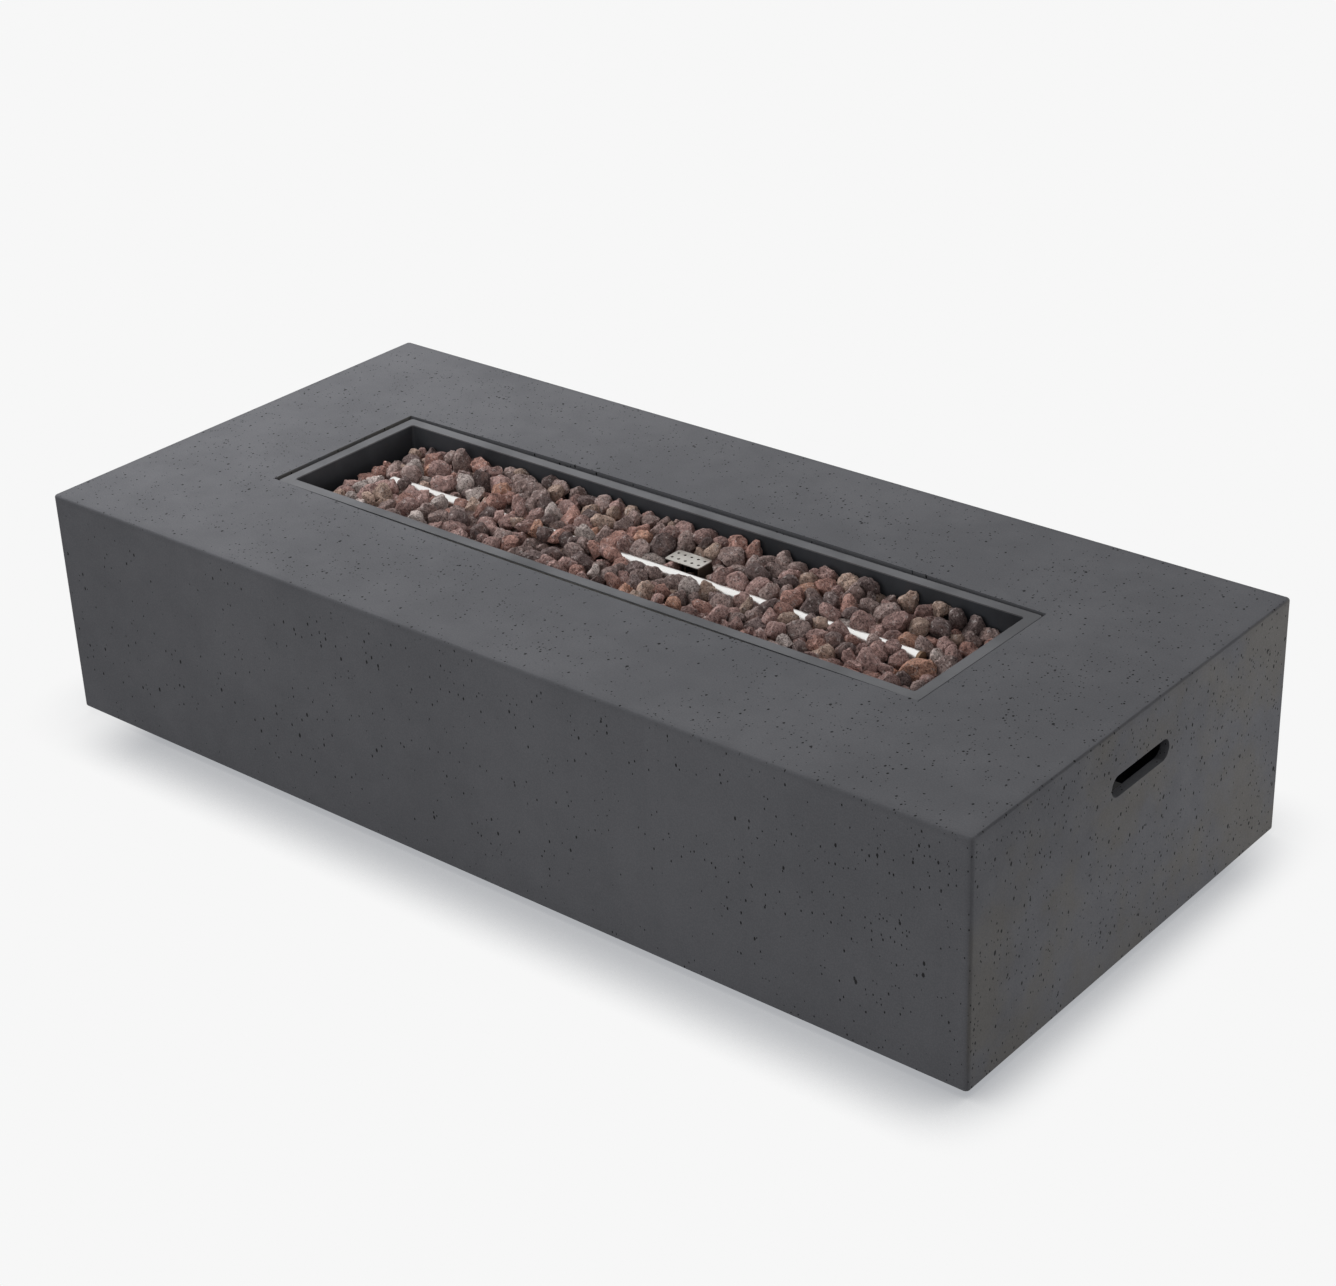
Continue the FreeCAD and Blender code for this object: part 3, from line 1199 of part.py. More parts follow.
def igniter_button():
    length = "button_inside + button_proud"
    profile = [("0", "0"), (BUTTON_RADIUS, "0"), (BUTTON_RADIUS, f"{length} - button_chamfer"),
               (f"{BUTTON_RADIUS} - button_chamfer", length), ("0", length)]
    return turned("igniter_button", profile, (BUTTON_ALONG, BUTTON_BACK, "panel_rise"), "rearward")


def igniter_spring():
    return ring("igniter_spring", "button_spring_radius", "button_spring_radius - button_spring_wire",
                "button_spring_length", (BUTTON_ALONG, BUTTON_BACK, "panel_rise"), "forward")


def igniter_battery():
    label = "igniter_battery"
    back = f"({TRAY_BACK} - igniter_length + igniter_end)"
    cell = rod(label + "_cell", "battery_radius", "battery_length",
               (BUTTON_ALONG, back, "panel_rise"), "rearward")
    tip = rod(label + "_tip", "battery_tip_radius", "battery_tip_length",
              (BUTTON_ALONG, f"{back} + battery_length", "panel_rise"), "rearward")
    return fuse(label, cell, tip)


def ignition_wire():
    return bent_tube("ignition_wire", hung_route(WIRE_ENDS, WIRE_CORNERS, WIRE_RUN), "lead_radius")


# Pilot

def bracket_screw_places():
    return [(f"pilot_along + {side} * (bracket_length / 2 - bracket_screw_inset_along)",
             "pilot_across - bracket_width / 2 + bracket_screw_inset_across") for _, side in SIDES]


def hood_screw_places():
    level = f"({HOOD_TOP} - hood_flap / 2)"
    return [(f"pilot_along + {side} * bracket_length / 4", level) for _, side in SIDES]


def pilot_bracket():
    label = "pilot_bracket"
    base = block(label + "_base", "bracket_length", "bracket_width", "bracket_sheet",
                 ("pilot_along", f"{PILOT_BACK} - hood_sheet - bracket_width / 2", FLOOR))
    upright = block(label + "_upright", "bracket_length", "bracket_sheet",
                    f"{HOOD_TOP} - hood_sheet - hood_play - {FLOOR}",
                    ("pilot_along", f"{PILOT_BACK} - hood_sheet - bracket_sheet / 2", FLOOR))
    holes = [rod(label + "_electrode_hole", "ceramic_radius", "bracket_sheet",
                 (ELECTRODE_ALONG, "pilot_across", FLOOR)),
             rod(label + "_sensor_hole", "sensor_radius", "bracket_sheet",
                 (SENSOR_ALONG, "pilot_across", FLOOR))]
    for number, (x, y) in enumerate(bracket_screw_places(), 1):
        holes.append(rod(f"{label}_base_hole_{number}", "small_screw_radius", "bracket_sheet", (x, y, FLOOR)))
    for number, (x, z) in enumerate(hood_screw_places(), 1):
        holes.append(rod(f"{label}_hood_hole_{number}", "small_screw_radius", "hood_width / 2",
                         (x, PILOT_BACK, z), "forward"))
    return cut(label, fuse(label + "_blank", base, upright), *holes)


def pilot_bracket_screws():
    return group("pilot_bracket_screws", [
        screw(f"bracket_screw_{number}", "small_screw_radius", "small_screw_length",
              (x, y, f"{FLOOR} + bracket_sheet"), "up")
        for number, (x, y) in enumerate(bracket_screw_places(), 1)])


def pilot_hood():
    body = new_body("pilot_hood")
    top = sketch(body, "XY_Plane", HOOD_TOP)
    draw_rectangle(top, "hood_length", "hood_width", "pilot_along", "pilot_across")
    pad(body, top, "hood_flap", reverse=True)
    corners = upright_at("hood_length / 2", "hood_width / 2", "pilot_along", "pilot_across")
    fillet(body, "hood_corner", corners)
    # The front and underside stay open: only the top, back and two side flaps are left
    inside = sketch(body, "XY_Plane", f"{HOOD_TOP} - hood_sheet")
    draw_rectangle(inside, "hood_length - 2 * hood_sheet", "hood_width",
                   "pilot_along", "pilot_across - hood_sheet")
    pocket(body, inside, "hood_flap - hood_sheet")
    holes = sketch(body, "XY_Plane", HOOD_TOP)
    for column in range(HOOD_COLUMNS):
        x = f"pilot_along + ({column} - {(HOOD_COLUMNS - 1) / 2}) * hood_hole_pitch"
        for _, depth in DEPTHS:
            draw_circle(holes, x, f"pilot_across + {depth} * hood_hole_rows / 2", "hood_hole_radius")
    pocket(body, holes, "hood_sheet")
    screw_holes = sketch(body, "XZ_Plane", f"-{PILOT_BACK}")
    for x, z in hood_screw_places():
        draw_circle(screw_holes, x, z, "small_screw_radius")
    pocket(body, screw_holes, "2 * hood_sheet", reverse=True)
    return body


def pilot_hood_screws():
    return group("pilot_hood_screws", [
        screw(f"hood_screw_{number}", "small_screw_radius", "small_screw_length",
              (x, PILOT_BACK, z), "rearward")
        for number, (x, z) in enumerate(hood_screw_places(), 1)])


def electrode_ceramic():
    label = "electrode_ceramic"
    low = f"({FLOOR} - ceramic_below)"
    length = "(ceramic_below + ceramic_above)"
    barrel = rod(label + "_barrel", "ceramic_radius", length, (ELECTRODE_ALONG, "pilot_across", low))
    bore = rod(label + "_bore", "electrode_radius", length, (ELECTRODE_ALONG, "pilot_across", low))
    return cut(label, barrel, bore)


def electrode_rod():
    return rod("electrode_rod", "electrode_radius", "ceramic_below + ceramic_above + electrode_length",
               (ELECTRODE_ALONG, "pilot_across", f"{FLOOR} - ceramic_below"))


def thermocouple():
    label = "thermocouple"
    stem = rod(label + "_stem", "sensor_radius", "sensor_above - sensor_tip + ceramic_below",
               (SENSOR_ALONG, "pilot_across", f"{FLOOR} - ceramic_below"))
    tip = cone(label + "_tip", "sensor_radius", "sensor_radius / 2", "sensor_tip",
               (SENSOR_ALONG, "pilot_across", f"{FLOOR} + sensor_above - sensor_tip"))
    return fuse(label, stem, tip)


def thermocouple_lead():
    route = hung_route(LEAD_ENDS, LEAD_CORNERS, LEAD_RUN)
    return bent_tube("thermocouple_lead", route, "sensor_lead_radius")


# Gas inlet

def arm_screw_places():
    level = "(fitting_rise + arm_leg / 2)"
    return [(f"{KNOB_ALONG} + {side} * arm_width / 4", level) for _, side in SIDES]


def supply_pipe():
    low = "(fitting_rise + fitting_thick)"
    return ring("supply_pipe", "supply_radius", "supply_radius - supply_wall", f"{INLET_TOP} - {low}",
                (KNOB_ALONG, VALVE_MIDDLE, low))


def gas_inlet_fitting():
    """A bulkhead fitting: hexagon, thread in the bracket, relief groove, hose thread and flared nose."""
    label = "gas_inlet_fitting"
    hex_part = hexagon(label + "_hexagon", "fitting_across", "fitting_thick",
                       (KNOB_ALONG, VALVE_MIDDLE, "fitting_rise"))
    bulkhead = rod(label + "_bulkhead", "bulkhead_radius", "arm_sheet + fitting_nut_thick + bulkhead_proud",
                   (KNOB_ALONG, VALVE_MIDDLE, "fitting_rise"), "down")
    core = rod(label + "_core", "relief_radius", "fitting_length",
               (KNOB_ALONG, VALVE_MIDDLE, "fitting_rise"), "down")
    relief_top = "fitting_rise - arm_sheet - fitting_nut_thick - bulkhead_proud"
    thread = rod(label + "_thread", "fitting_radius", f"{relief_top} - relief_length - {FITTING_TIP}",
                 (KNOB_ALONG, VALVE_MIDDLE, FITTING_TIP))
    flare = cone(label + "_flare", "fitting_radius", "fitting_bore + flare_lip", "flare_length",
                 (KNOB_ALONG, VALVE_MIDDLE, FITTING_TIP), "down")
    bore = rod(label + "_bore", "fitting_bore", "fitting_length + fitting_thick + flare_length",
               (KNOB_ALONG, VALVE_MIDDLE, "fitting_rise + fitting_thick"), "down")
    return cut(label, fuse(label + "_blank", hex_part, bulkhead, core, thread, flare), bore)


def inlet_bracket():
    label = "inlet_bracket"
    wall = f"({REAR} - wall_thick)"
    front = f"({VALVE_MIDDLE} - arm_reach)"
    shelf = block(label + "_shelf", "arm_width", f"{wall} - {front}", "arm_sheet",
                  (KNOB_ALONG, f"({wall} + {front}) / 2", "fitting_rise - arm_sheet"))
    leg = block(label + "_leg", "arm_width", "arm_sheet", "arm_leg",
                (KNOB_ALONG, f"{wall} - arm_sheet / 2", "fitting_rise - arm_sheet"))
    holes = [rod(label + "_fitting_hole", "bulkhead_radius + thread_clear", "arm_sheet",
                 (KNOB_ALONG, VALVE_MIDDLE, "fitting_rise"), "down")]
    for number, (x, z) in enumerate(arm_screw_places(), 1):
        holes.append(rod(f"{label}_screw_hole_{number}", "small_screw_radius", "arm_sheet",
                         (x, wall, z), "forward"))
    return cut(label, fuse(label + "_blank", shelf, leg), *holes)


def inlet_fitting_nut():
    return hex_nut("inlet_fitting_nut", "fitting_across", "bulkhead_radius + thread_clear",
                   "fitting_nut_thick", (KNOB_ALONG, VALVE_MIDDLE, "fitting_rise - arm_sheet"), "down")


def inlet_bracket_screws():
    return group("inlet_bracket_screws", [
        screw(f"arm_screw_{number}", "small_screw_radius", "small_screw_length + arm_sheet",
              (x, f"{REAR} - wall_thick - arm_sheet", z), "forward")
        for number, (x, z) in enumerate(arm_screw_places(), 1)])


# Lava rock

def lava_lower_layer():
    """The small rocks under the burner, as one solid cut round what stands in the pan."""
    label = "lava_lower_layer"
    bed = block(label + "_bed", "pan_length - 2 * layer_inset", "pan_width - 2 * rock_gap",
                "layer_height", ("0", "0", FLOOR))
    room = "layer_height + 1"
    tools = [rod(label + "_pipe_room", "collar_radius + rock_gap", room, ("0", "0", FLOOR))]
    for end, side in SIDES:
        tools.append(block(f"{label}_saddle_room_{end}", "saddle_foot_length + 2 * rock_gap",
                           "saddle_width + 2 * rock_gap", room, (f"{side} * saddle_place", "0", FLOOR)))
    tools.append(block(label + "_pilot_room", "hood_length + 2 * rock_gap",
                       "hood_width + 2 * pilot_room + 2 * rock_gap",
                       room, ("pilot_along", "pilot_across", FLOOR)))
    return cut(label, bed, *tools)


def chance(*seeds):
    """A fixed number from 0 to 1 for a set of whole numbers."""
    total = sum(seed * factor for seed, factor in zip(seeds, (12.9898, 78.233, 37.719, 93.17)))
    return math.sin(total) * 43758.5453 % 1


def between(limits, *seeds):
    low, high = limits
    return low + (high - low) * chance(*seeds)


def clip(faces, normal, reach):
    """Keep the part of a convex solid, a list of corner loops, within a plane."""
    kept = []
    rim = []
    for loop in faces:
        result = []
        for here, after in zip(loop, loop[1:] + loop[:1]):
            depth_here = reach - here.dot(normal)
            depth_after = reach - after.dot(normal)
            if depth_here >= 0:
                result.append(here)
            if (depth_here >= 0) != (depth_after >= 0):
                crossing = here + (after - here) * (depth_here / (depth_here - depth_after))
                result.append(crossing)
                rim.append(crossing)
        if len(result) > 2:
            kept.append(result)
    if rim:
        kept.append(sorted_loop(rim, normal))
    return kept


def sorted_loop(points, normal):
    """The corners of a flat convex face in order, each once."""
    centre = sum(points, FreeCAD.Vector()) * (1 / len(points))
    side = (points[0] - centre).normalize()
    up = normal.cross(side)
    ordered = sorted(points, key=lambda p: math.atan2((p - centre).dot(up), (p - centre).dot(side)))
    return [p for p, q in zip(ordered, ordered[1:] + ordered[:1]) if (p - q).Length > 1e-6]


def solid_of(faces):
    walls = [Part.Face(Part.makePolygon(loop + loop[:1])) for loop in faces]
    solid = Part.makeSolid(Part.makeShell(walls))
    if solid.Volume < 0:
        solid.reverse()
    return solid


def box_loops(low, high):
    corners = [FreeCAD.Vector(x, y, z) for x in (low.x, high.x) for y in (low.y, high.y)
               for z in (low.z, high.z)]
    order = ((0, 1, 3, 2), (4, 6, 7, 5), (0, 4, 5, 1), (2, 3, 7, 6), (0, 2, 6, 4), (1, 5, 7, 3))
    return [[corners[n] for n in loop] for loop in order]


def rock_columns():
    return int(amount_of("(pan_length - 2 * rock_end_room) / rock_pitch_along"))


def rock_centre(column, row, depth):
    """The middle of one upper rock: rows count outwards from the burner."""
    gap, tube = amount_of("rock_gap"), amount_of("tube_radius")
    rows = int(amount_of("rock_rows"))
    band = amount_of("pan_width") / 2 - 2 * gap - tube
    along = amount_of("rock_pitch_along")
    x = (column - (rock_columns() - 1) / 2 + ROW_STAGGER * (row % 2 - 0.5)) * along
    x += (chance(column, row, depth) - 0.5) * ALONG_RANGE * along
    y = tube + gap + band * (row + 0.5 + (chance(row, column, depth) - 0.5) * ACROSS_RANGE) / rows
    past_layer = abs(x) > amount_of("pan_length / 2 - layer_inset")
    base = amount_of(FLOOR) if past_layer else amount_of(LAYER_TOP)
    return FreeCAD.Vector(x, depth * y, base)


def pilot_zone():
    """The space of the pilot under its hood, with room round it."""
    room = amount_of("rock_gap + pilot_room")
    half = FreeCAD.Vector(amount_of("hood_length") / 2 + room, amount_of("hood_width") / 2 + room, 0)
    centre = FreeCAD.Vector(amount_of("pilot_along"), amount_of("pilot_across"), 0)
    return centre, half


def rock_solid(seat, seeds, neighbours, height):
    """One rock: a rough convex lump on its seat, held off its neighbours and the metal."""
    gap = amount_of("rock_gap")
    centre = seat + FreeCAD.Vector(0, 0, height / 2)
    spread = amount_of("rock_pitch_along") * between(SPREAD_SHARES, *seeds, SPREAD_SEED)
    limit = FreeCAD.Vector(2 * spread, 2 * spread, 0)
    low = centre - limit
    high = centre + limit
    low.z, high.z = seat.z, seat.z + height
    faces = box_loops(low, high)
    for index in range(ROCK_PLANES):
        around = 2 * math.pi * index / ROCK_PLANES + chance(*seeds, index) * TURN_RANGE
        rise = ROCK_SLOPES[index % len(ROCK_SLOPES)] + SLOPE_RANGE * (chance(index, *seeds) - 0.5)
        normal = FreeCAD.Vector(math.cos(around), math.sin(around), rise).normalize()
        reach = spread * between(REACH_SHARES, *seeds, REACH_SEED, index)
        faces = clip(faces, normal, centre.dot(normal) + reach)
    for other in neighbours:
        normal = other - seat
        normal.z = 0
        middle = (other + seat) * 0.5
        normal.normalize()
        faces = clip(faces, normal, middle.dot(normal) - gap / 2)
    side = 1 if seat.y > 0 else -1
    faces = clip(faces, FreeCAD.Vector(0, -side, 0), -amount_of("tube_radius") - gap)
    faces = clip(faces, FreeCAD.Vector(0, side, 0), amount_of("pan_width") / 2 - gap)
    for end in (-1, 1):
        faces = clip(faces, FreeCAD.Vector(end, 0, 0), amount_of("pan_length") / 2 - gap)
    layer_end = amount_of("pan_length / 2 - layer_inset")
    if abs(seat.x) > layer_end:
        inward = FreeCAD.Vector(-math.copysign(1, seat.x), 0, 0)
        faces = clip(faces, inward, -layer_end - gap)
    zone_centre, zone_half = pilot_zone()
    away = seat - zone_centre
    over = FreeCAD.Vector(abs(away.x) - zone_half.x, abs(away.y) - zone_half.y, 0)
    if over.x > over.y:
        normal = FreeCAD.Vector(-math.copysign(1, away.x), 0, 0)
        faces = clip(faces, normal, (zone_centre - normal * zone_half.x).dot(normal))
    else:
        normal = FreeCAD.Vector(0, -math.copysign(1, away.y), 0)
        faces = clip(faces, normal, (zone_centre - normal * zone_half.y).dot(normal))
    return solid_of(faces)


def lava_rocks():
    """The upper rocks, in four groups: two stretches in front of the burner and two behind it."""
    rows = int(amount_of("rock_rows"))
    places = {}
    for _, depth in DEPTHS:
        for row in range(rows):
            for column in range(rock_columns()):
                places[column, row, depth] = rock_centre(column, row, depth)
    zone_centre, zone_half = pilot_zone()
    least = amount_of("rock_pitch_along") / ROCK_ROOM
    reach = amount_of("rock_pitch_along") * NEIGHBOUR_PITCHES
    groups = {}
    for (column, row, depth), seat in places.items():
        away = seat - zone_centre
        if abs(away.x) < zone_half.x + least and abs(away.y) < zone_half.y + least:
            continue
        near = [other for key, other in places.items()
                if key[2] == depth and 0 < (other - seat).Length < reach]
        height = amount_of("rock_height") * between(HEIGHT_SHARES, column, row, depth, HEIGHT_SEED)
        solid = rock_solid(seat, (column, row, depth), near, height)
        stretch = "left" if 2 * column < rock_columns() else "right"
        face = "front" if depth < 0 else "rear"
        groups.setdefault(f"lava_rocks_{face}_{stretch}", []).append(solid)
    return [shape_piece(label, Part.makeCompound(solids)) for label, solids in groups.items()]


sub_parts = [
    concrete_body(), foot_inserts(), burner_pan(), pan_rim(), pan_gasket(), burner_tube(),
    burner_end_cap(), burner_end_plug(), burner_saddles(), saddle_screws(), burner_inlet_pipe(), inlet_washer(),
    inlet_lock_nut(), air_mixer(), air_shutter(), shutter_screw(), gas_orifice(), gas_feed_tube(),
    feed_tube_nuts(), control_box(), control_box_screws(), control_box_inserts(), valve_body(),
    valve_nut(), stem_washer(), valve_spring(), valve_stem(), control_knob(), igniter_housing(),
    igniter_nut(), igniter_button(), igniter_spring(), igniter_battery(), ignition_wire(),
    electrode_ceramic(), electrode_rod(), thermocouple(), thermocouple_lead(), pilot_bracket(),
    pilot_bracket_screws(), pilot_hood(), pilot_hood_screws(), supply_pipe(), gas_inlet_fitting(),
    inlet_bracket(), inlet_fitting_nut(), inlet_bracket_screws(), lava_lower_layer(),
]
for end_name, side_sign in SIDES:
    for face_name, depth_sign in DEPTHS:
        sub_parts += foot(face_name, end_name, side_sign, depth_sign)
sub_parts += lava_rocks()

doc.recompute()
for thing in doc.Objects:
    if "Invalid" in thing.State or "Error" in thing.State:
        raise ValueError(f"{thing.Label} failed: {thing.State}")
faulty = [thing.Label for thing in sub_parts
          if thing.Shape.isNull() or not thing.Shape.isValid() or not thing.Shape.Solids]
if faulty:
    raise ValueError(f"no valid solid: {faulty}")

os.makedirs("parts", exist_ok=True)
for thing in sub_parts:
    thing.Shape.exportStep(f"parts/{thing.Label}.step")
print(len(sub_parts), "parts,", sum(len(thing.Shape.Solids) for thing in sub_parts), "solids")
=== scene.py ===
"""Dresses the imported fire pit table: finishes for its parts, lava rock in its pan, and a studio."""
import math

import bpy
import numpy as np
from bpy.props import (FloatProperty, FloatVectorProperty, IntProperty, PointerProperty)
from bpy.types import Operator, Panel, PropertyGroup
from mathutils import Euler, Matrix, Vector


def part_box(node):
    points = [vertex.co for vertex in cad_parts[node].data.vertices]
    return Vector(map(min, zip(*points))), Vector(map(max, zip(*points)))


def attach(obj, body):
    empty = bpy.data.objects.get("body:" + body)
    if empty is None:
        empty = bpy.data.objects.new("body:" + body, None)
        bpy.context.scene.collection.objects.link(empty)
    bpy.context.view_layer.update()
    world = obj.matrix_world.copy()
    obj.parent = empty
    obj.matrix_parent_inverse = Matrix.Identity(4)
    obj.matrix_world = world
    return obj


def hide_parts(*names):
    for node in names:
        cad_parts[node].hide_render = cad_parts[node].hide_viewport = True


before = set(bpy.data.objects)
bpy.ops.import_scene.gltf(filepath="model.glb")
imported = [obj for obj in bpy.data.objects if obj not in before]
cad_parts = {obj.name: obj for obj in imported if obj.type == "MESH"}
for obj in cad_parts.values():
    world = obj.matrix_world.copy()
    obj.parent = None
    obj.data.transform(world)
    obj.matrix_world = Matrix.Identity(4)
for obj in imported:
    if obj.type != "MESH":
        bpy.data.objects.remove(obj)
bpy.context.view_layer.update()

bl_info = {
    "name": "Fire pit table",
    "version": (1, 0, 0),
    "blender": (4, 5, 0),
    "location": "3D View > Sidebar > Fire pit",
    "description": "Finishes, lava rock and studio for the fire pit table",
    "category": "Object",
}

# Places read from the frame, in metres
SHELL_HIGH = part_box("concrete_body")[1]
PAN_LOW, PAN_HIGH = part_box("burner_pan")
RIM_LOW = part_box("pan_rim")[0]
TUBE_LOW, TUBE_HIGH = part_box("burner_tube")
HOOD_LOW, HOOD_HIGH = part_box("pilot_hood")
BOX_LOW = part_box("control_box")[0]
BATTERY_LOW, BATTERY_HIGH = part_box("igniter_battery")
PLATE_SHEET = 0.0015  # the control box's sheet
PAN_SHEET = 0.002
SHELL_WALL = 0.022


# Sizes and colours that a user would change

def colour_property(name, description, default):
    return FloatVectorProperty(name=name, description=description, default=default,
                               subtype="COLOR", size=3, min=0.0, max=1.0)


def length_property(name, description, default):
    return FloatProperty(name=name, description=description, default=default,
                         unit="LENGTH", subtype="DISTANCE", min=0.0)


def angle_property(name, description, degrees):
    return FloatProperty(name=name, description=description, default=math.radians(degrees),
                         subtype="ANGLE", unit="ROTATION")


def lamp_property(name, description, default):
    return FloatProperty(name=name, description=description, default=default, unit="POWER")


class ConcreteLook(PropertyGroup):
    light: colour_property("Light concrete", "Paler tone of the casting", (0.1350, 0.1365, 0.1470))
    dark: colour_property("Dark concrete", "Deeper tone of the casting", (0.1200, 0.1215, 0.1310))
    stain: colour_property("Stain", "Brown tint on the right end", (0.131, 0.122, 0.107))
    # Pinhole colour: painted shade inside the air holes
    pit: colour_property("Pinhole", "Inside of the air holes", (0.014, 0.014, 0.015))
    # Edge line's colour: painted shade along the casting's edges
    edge_shade: colour_property("Edge line", "Dirt along the casting's edges", (0.040, 0.040, 0.046))
    pit_pitch: length_property("Pinhole pitch", "Distance between small air holes", 0.011)
    crease_width: length_property("Edge line's width", "Width of the darker line along the edges", 0.0038)


class MetalLook(PropertyGroup):
    paint: colour_property("Pan paint", "Heat proof paint inside the pan", (0.030, 0.032, 0.036))
    rim: colour_property("Rim paint", "Paint on the pan's rim", (0.136, 0.138, 0.146))
    stainless: colour_property("Stainless steel", "Sheet parts", (0.66, 0.64, 0.60))
    bright: colour_property("Burner steel", "Polished burner tube", (0.93, 0.92, 0.90))
    zinc: colour_property("Zinc plate", "Screws, nuts and brackets", (0.46, 0.47, 0.49))
    tinted: colour_property("Heated steel", "Steel browned by the flame", (0.20, 0.13, 0.085))
    brass: colour_property("Brass", "Gas fittings", (0.62, 0.42, 0.17))
    casting: colour_property("Valve casting", "Die cast valve block", (0.50, 0.50, 0.49))
    copper: colour_property("Copper", "Sensor's lead", (0.64, 0.31, 0.18))


class RockLook(PropertyGroup):
    count: IntProperty(name="Rocks", description="Rocks dropped into the pan", default=1080, min=1)
    smallest: length_property("Smallest rock", "Radius of the smallest rock", 0.0090)
    largest: length_property("Largest rock", "Radius of the largest rock", 0.0210)
    brim: length_property("Brim", "Highest rock under the table's top", 0.0115)
    end_drop: length_property("End drop", "How much lower the rocks lie at the pan's ends", 0.026)
    seed: IntProperty(name="Seed", description="Draw of the rocks' sizes and places", default=11)


class StudioLook(PropertyGroup):
    lens: FloatProperty(name="Lens", description="Focal length", default=73.04, unit="CAMERA")
    azimuth: angle_property("Azimuth", "Camera's turn from the front", 40.61)
    elevation: angle_property("Elevation", "Camera above the horizon", 27.60)
    roll: angle_property("Roll", "Camera's tilt to its side", -2.25)
    eye: FloatVectorProperty(name="Eye", description="Camera's place", unit="LENGTH",
                             subtype="TRANSLATION", default=(2.4665, -2.8128, 2.1816))
    sky: FloatProperty(name="Sky", description="Strength of the even light", default=0.25)
    left_lamp: lamp_property("Left lamp", "Power of the large lamp over the left end", 70.0)
    front_lamp: lamp_property("Front lamp", "Power of the lamp in front", 36.0)
    end_lamp: lamp_property("End lamp", "Power of the low lamp behind the right end", 35.0)
    floor: colour_property("Floor", "The plain floor", (0.930, 0.930, 0.930))
    shadow: colour_property("Shadow", "The floor close to the object", (0.400, 0.410, 0.430))
    bounce: colour_property("Bounce", "The floor as the object's sides are lit by it", (0.30, 0.30, 0.31))
    shadow_reach: length_property("Shadow reach", "How far the soft shadow spreads over the floor", 0.13)


# Materials

# Soot with painted shade on the pilot hood's walls, below its top
SOOT_AND_SHADE = (0.100, 0.070, 0.045)


class Finish:
    """One procedural material, built node by node on its shader."""

    def __init__(self, name, **constants):
        self.material = bpy.data.materials.new(name)
        self.material.use_nodes = True
        self.nodes = self.material.node_tree.nodes
        self.links = self.material.node_tree.links
        self.shader = self.nodes["Principled BSDF"]
        self.place = self.nodes.new("ShaderNodeTexCoord").outputs["Object"]
        for socket, amount in constants.items():
            self.feed(self.shader.inputs[socket.replace("_", " ")], amount)

    def feed(self, socket, amount):
        if isinstance(amount, bpy.types.NodeSocket):
            self.links.new(amount, socket)
        elif isinstance(amount, (int, float)):
            socket.default_value = amount
        else:
            amount = tuple(amount)
            socket.default_value = amount + (1.0,) if len(amount) < len(socket.default_value) else amount

    def set(self, **inputs):
        for name, amount in inputs.items():
            self.feed(self.shader.inputs[name.replace("_", " ")], amount)
        return self

    def node(self, kind, inputs=None, **settings):
        made = self.nodes.new(kind)
        for name, setting in settings.items():
            setattr(made, name, setting)
        for name, amount in (inputs or {}).items():
            self.feed(made.inputs[name], amount)
        return made

    def stretched(self, scale, turn=(0.0, 0.0, 0.0)):
        made = self.node("ShaderNodeMapping", {"Vector": self.place, "Scale": scale, "Rotation": turn})
        return made.outputs[0]

    def noise(self, scale, detail=3.0, roughness=0.5, place=None, distortion=0.0):
        made = self.node("ShaderNodeTexNoise", {"Vector": place or self.place, "Scale": scale,
                                                "Detail": detail, "Roughness": roughness,
                                                "Distortion": distortion})
        return made.outputs["Fac"]

    def cells(self, scale, feature="F1", place=None):
        return self.node("ShaderNodeTexVoronoi", {"Vector": place or self.place, "Scale": scale},
                         feature=feature)

    def math(self, operation, *amounts):
        made = self.nodes.new("ShaderNodeMath")
        made.operation = operation
        for socket, amount in zip(made.inputs, amounts):
            self.feed(socket, amount)
        return made.outputs[0]

    def times(self, first, second):
        return self.math("MULTIPLY", first, second)

    def minus(self, first, second):
        return self.math("SUBTRACT", first, second)

    def larger(self, first, second):
        return self.math("MAXIMUM", first, second)

    def absolute(self, amount):
        return self.math("ABSOLUTE", amount)

    def ramp(self, factor, low, high, to_low=0.0, to_high=1.0, smooth=True):
        made = self.node("ShaderNodeMapRange", {"Value": factor, "From Min": low, "From Max": high,
                                                "To Min": to_low, "To Max": to_high})
        made.interpolation_type = "SMOOTHSTEP" if smooth else "LINEAR"
        return made.outputs[0]

    def mix(self, factor, first, second, blend="MIX"):
        made = self.node("ShaderNodeMix", data_type="RGBA", blend_type=blend)
        self.feed(made.inputs["Factor"], factor)
        colours = [socket for socket in made.inputs if socket.type == "RGBA"]
        self.feed(colours[0], first)
        self.feed(colours[1], second)
        return next(socket for socket in made.outputs if socket.type == "RGBA")

    def axes(self, vector=None):
        return self.node("ShaderNodeSeparateXYZ", {"Vector": vector or self.place}).outputs

    def facing(self):
        """The three parts of the surface's normal."""
        return self.axes(self.nodes.new("ShaderNodeNewGeometry").outputs["Normal"])

    def bump(self, height, distance, strength=1.0, under=None):
        inputs = {"Height": height, "Distance": distance, "Strength": strength}
        if under is not None:
            inputs["Normal"] = under
        return self.node("ShaderNodeBump", inputs).outputs[0]


# Layers of air holes: pitch beside the look's, smallest and largest hole in cells, share of cells with one
PIT_LAYERS = ((1.0, 0.075, 0.155, 0.80), (2.0, 0.050, 0.095, 0.60), (0.55, 0.110, 0.200, 0.50))


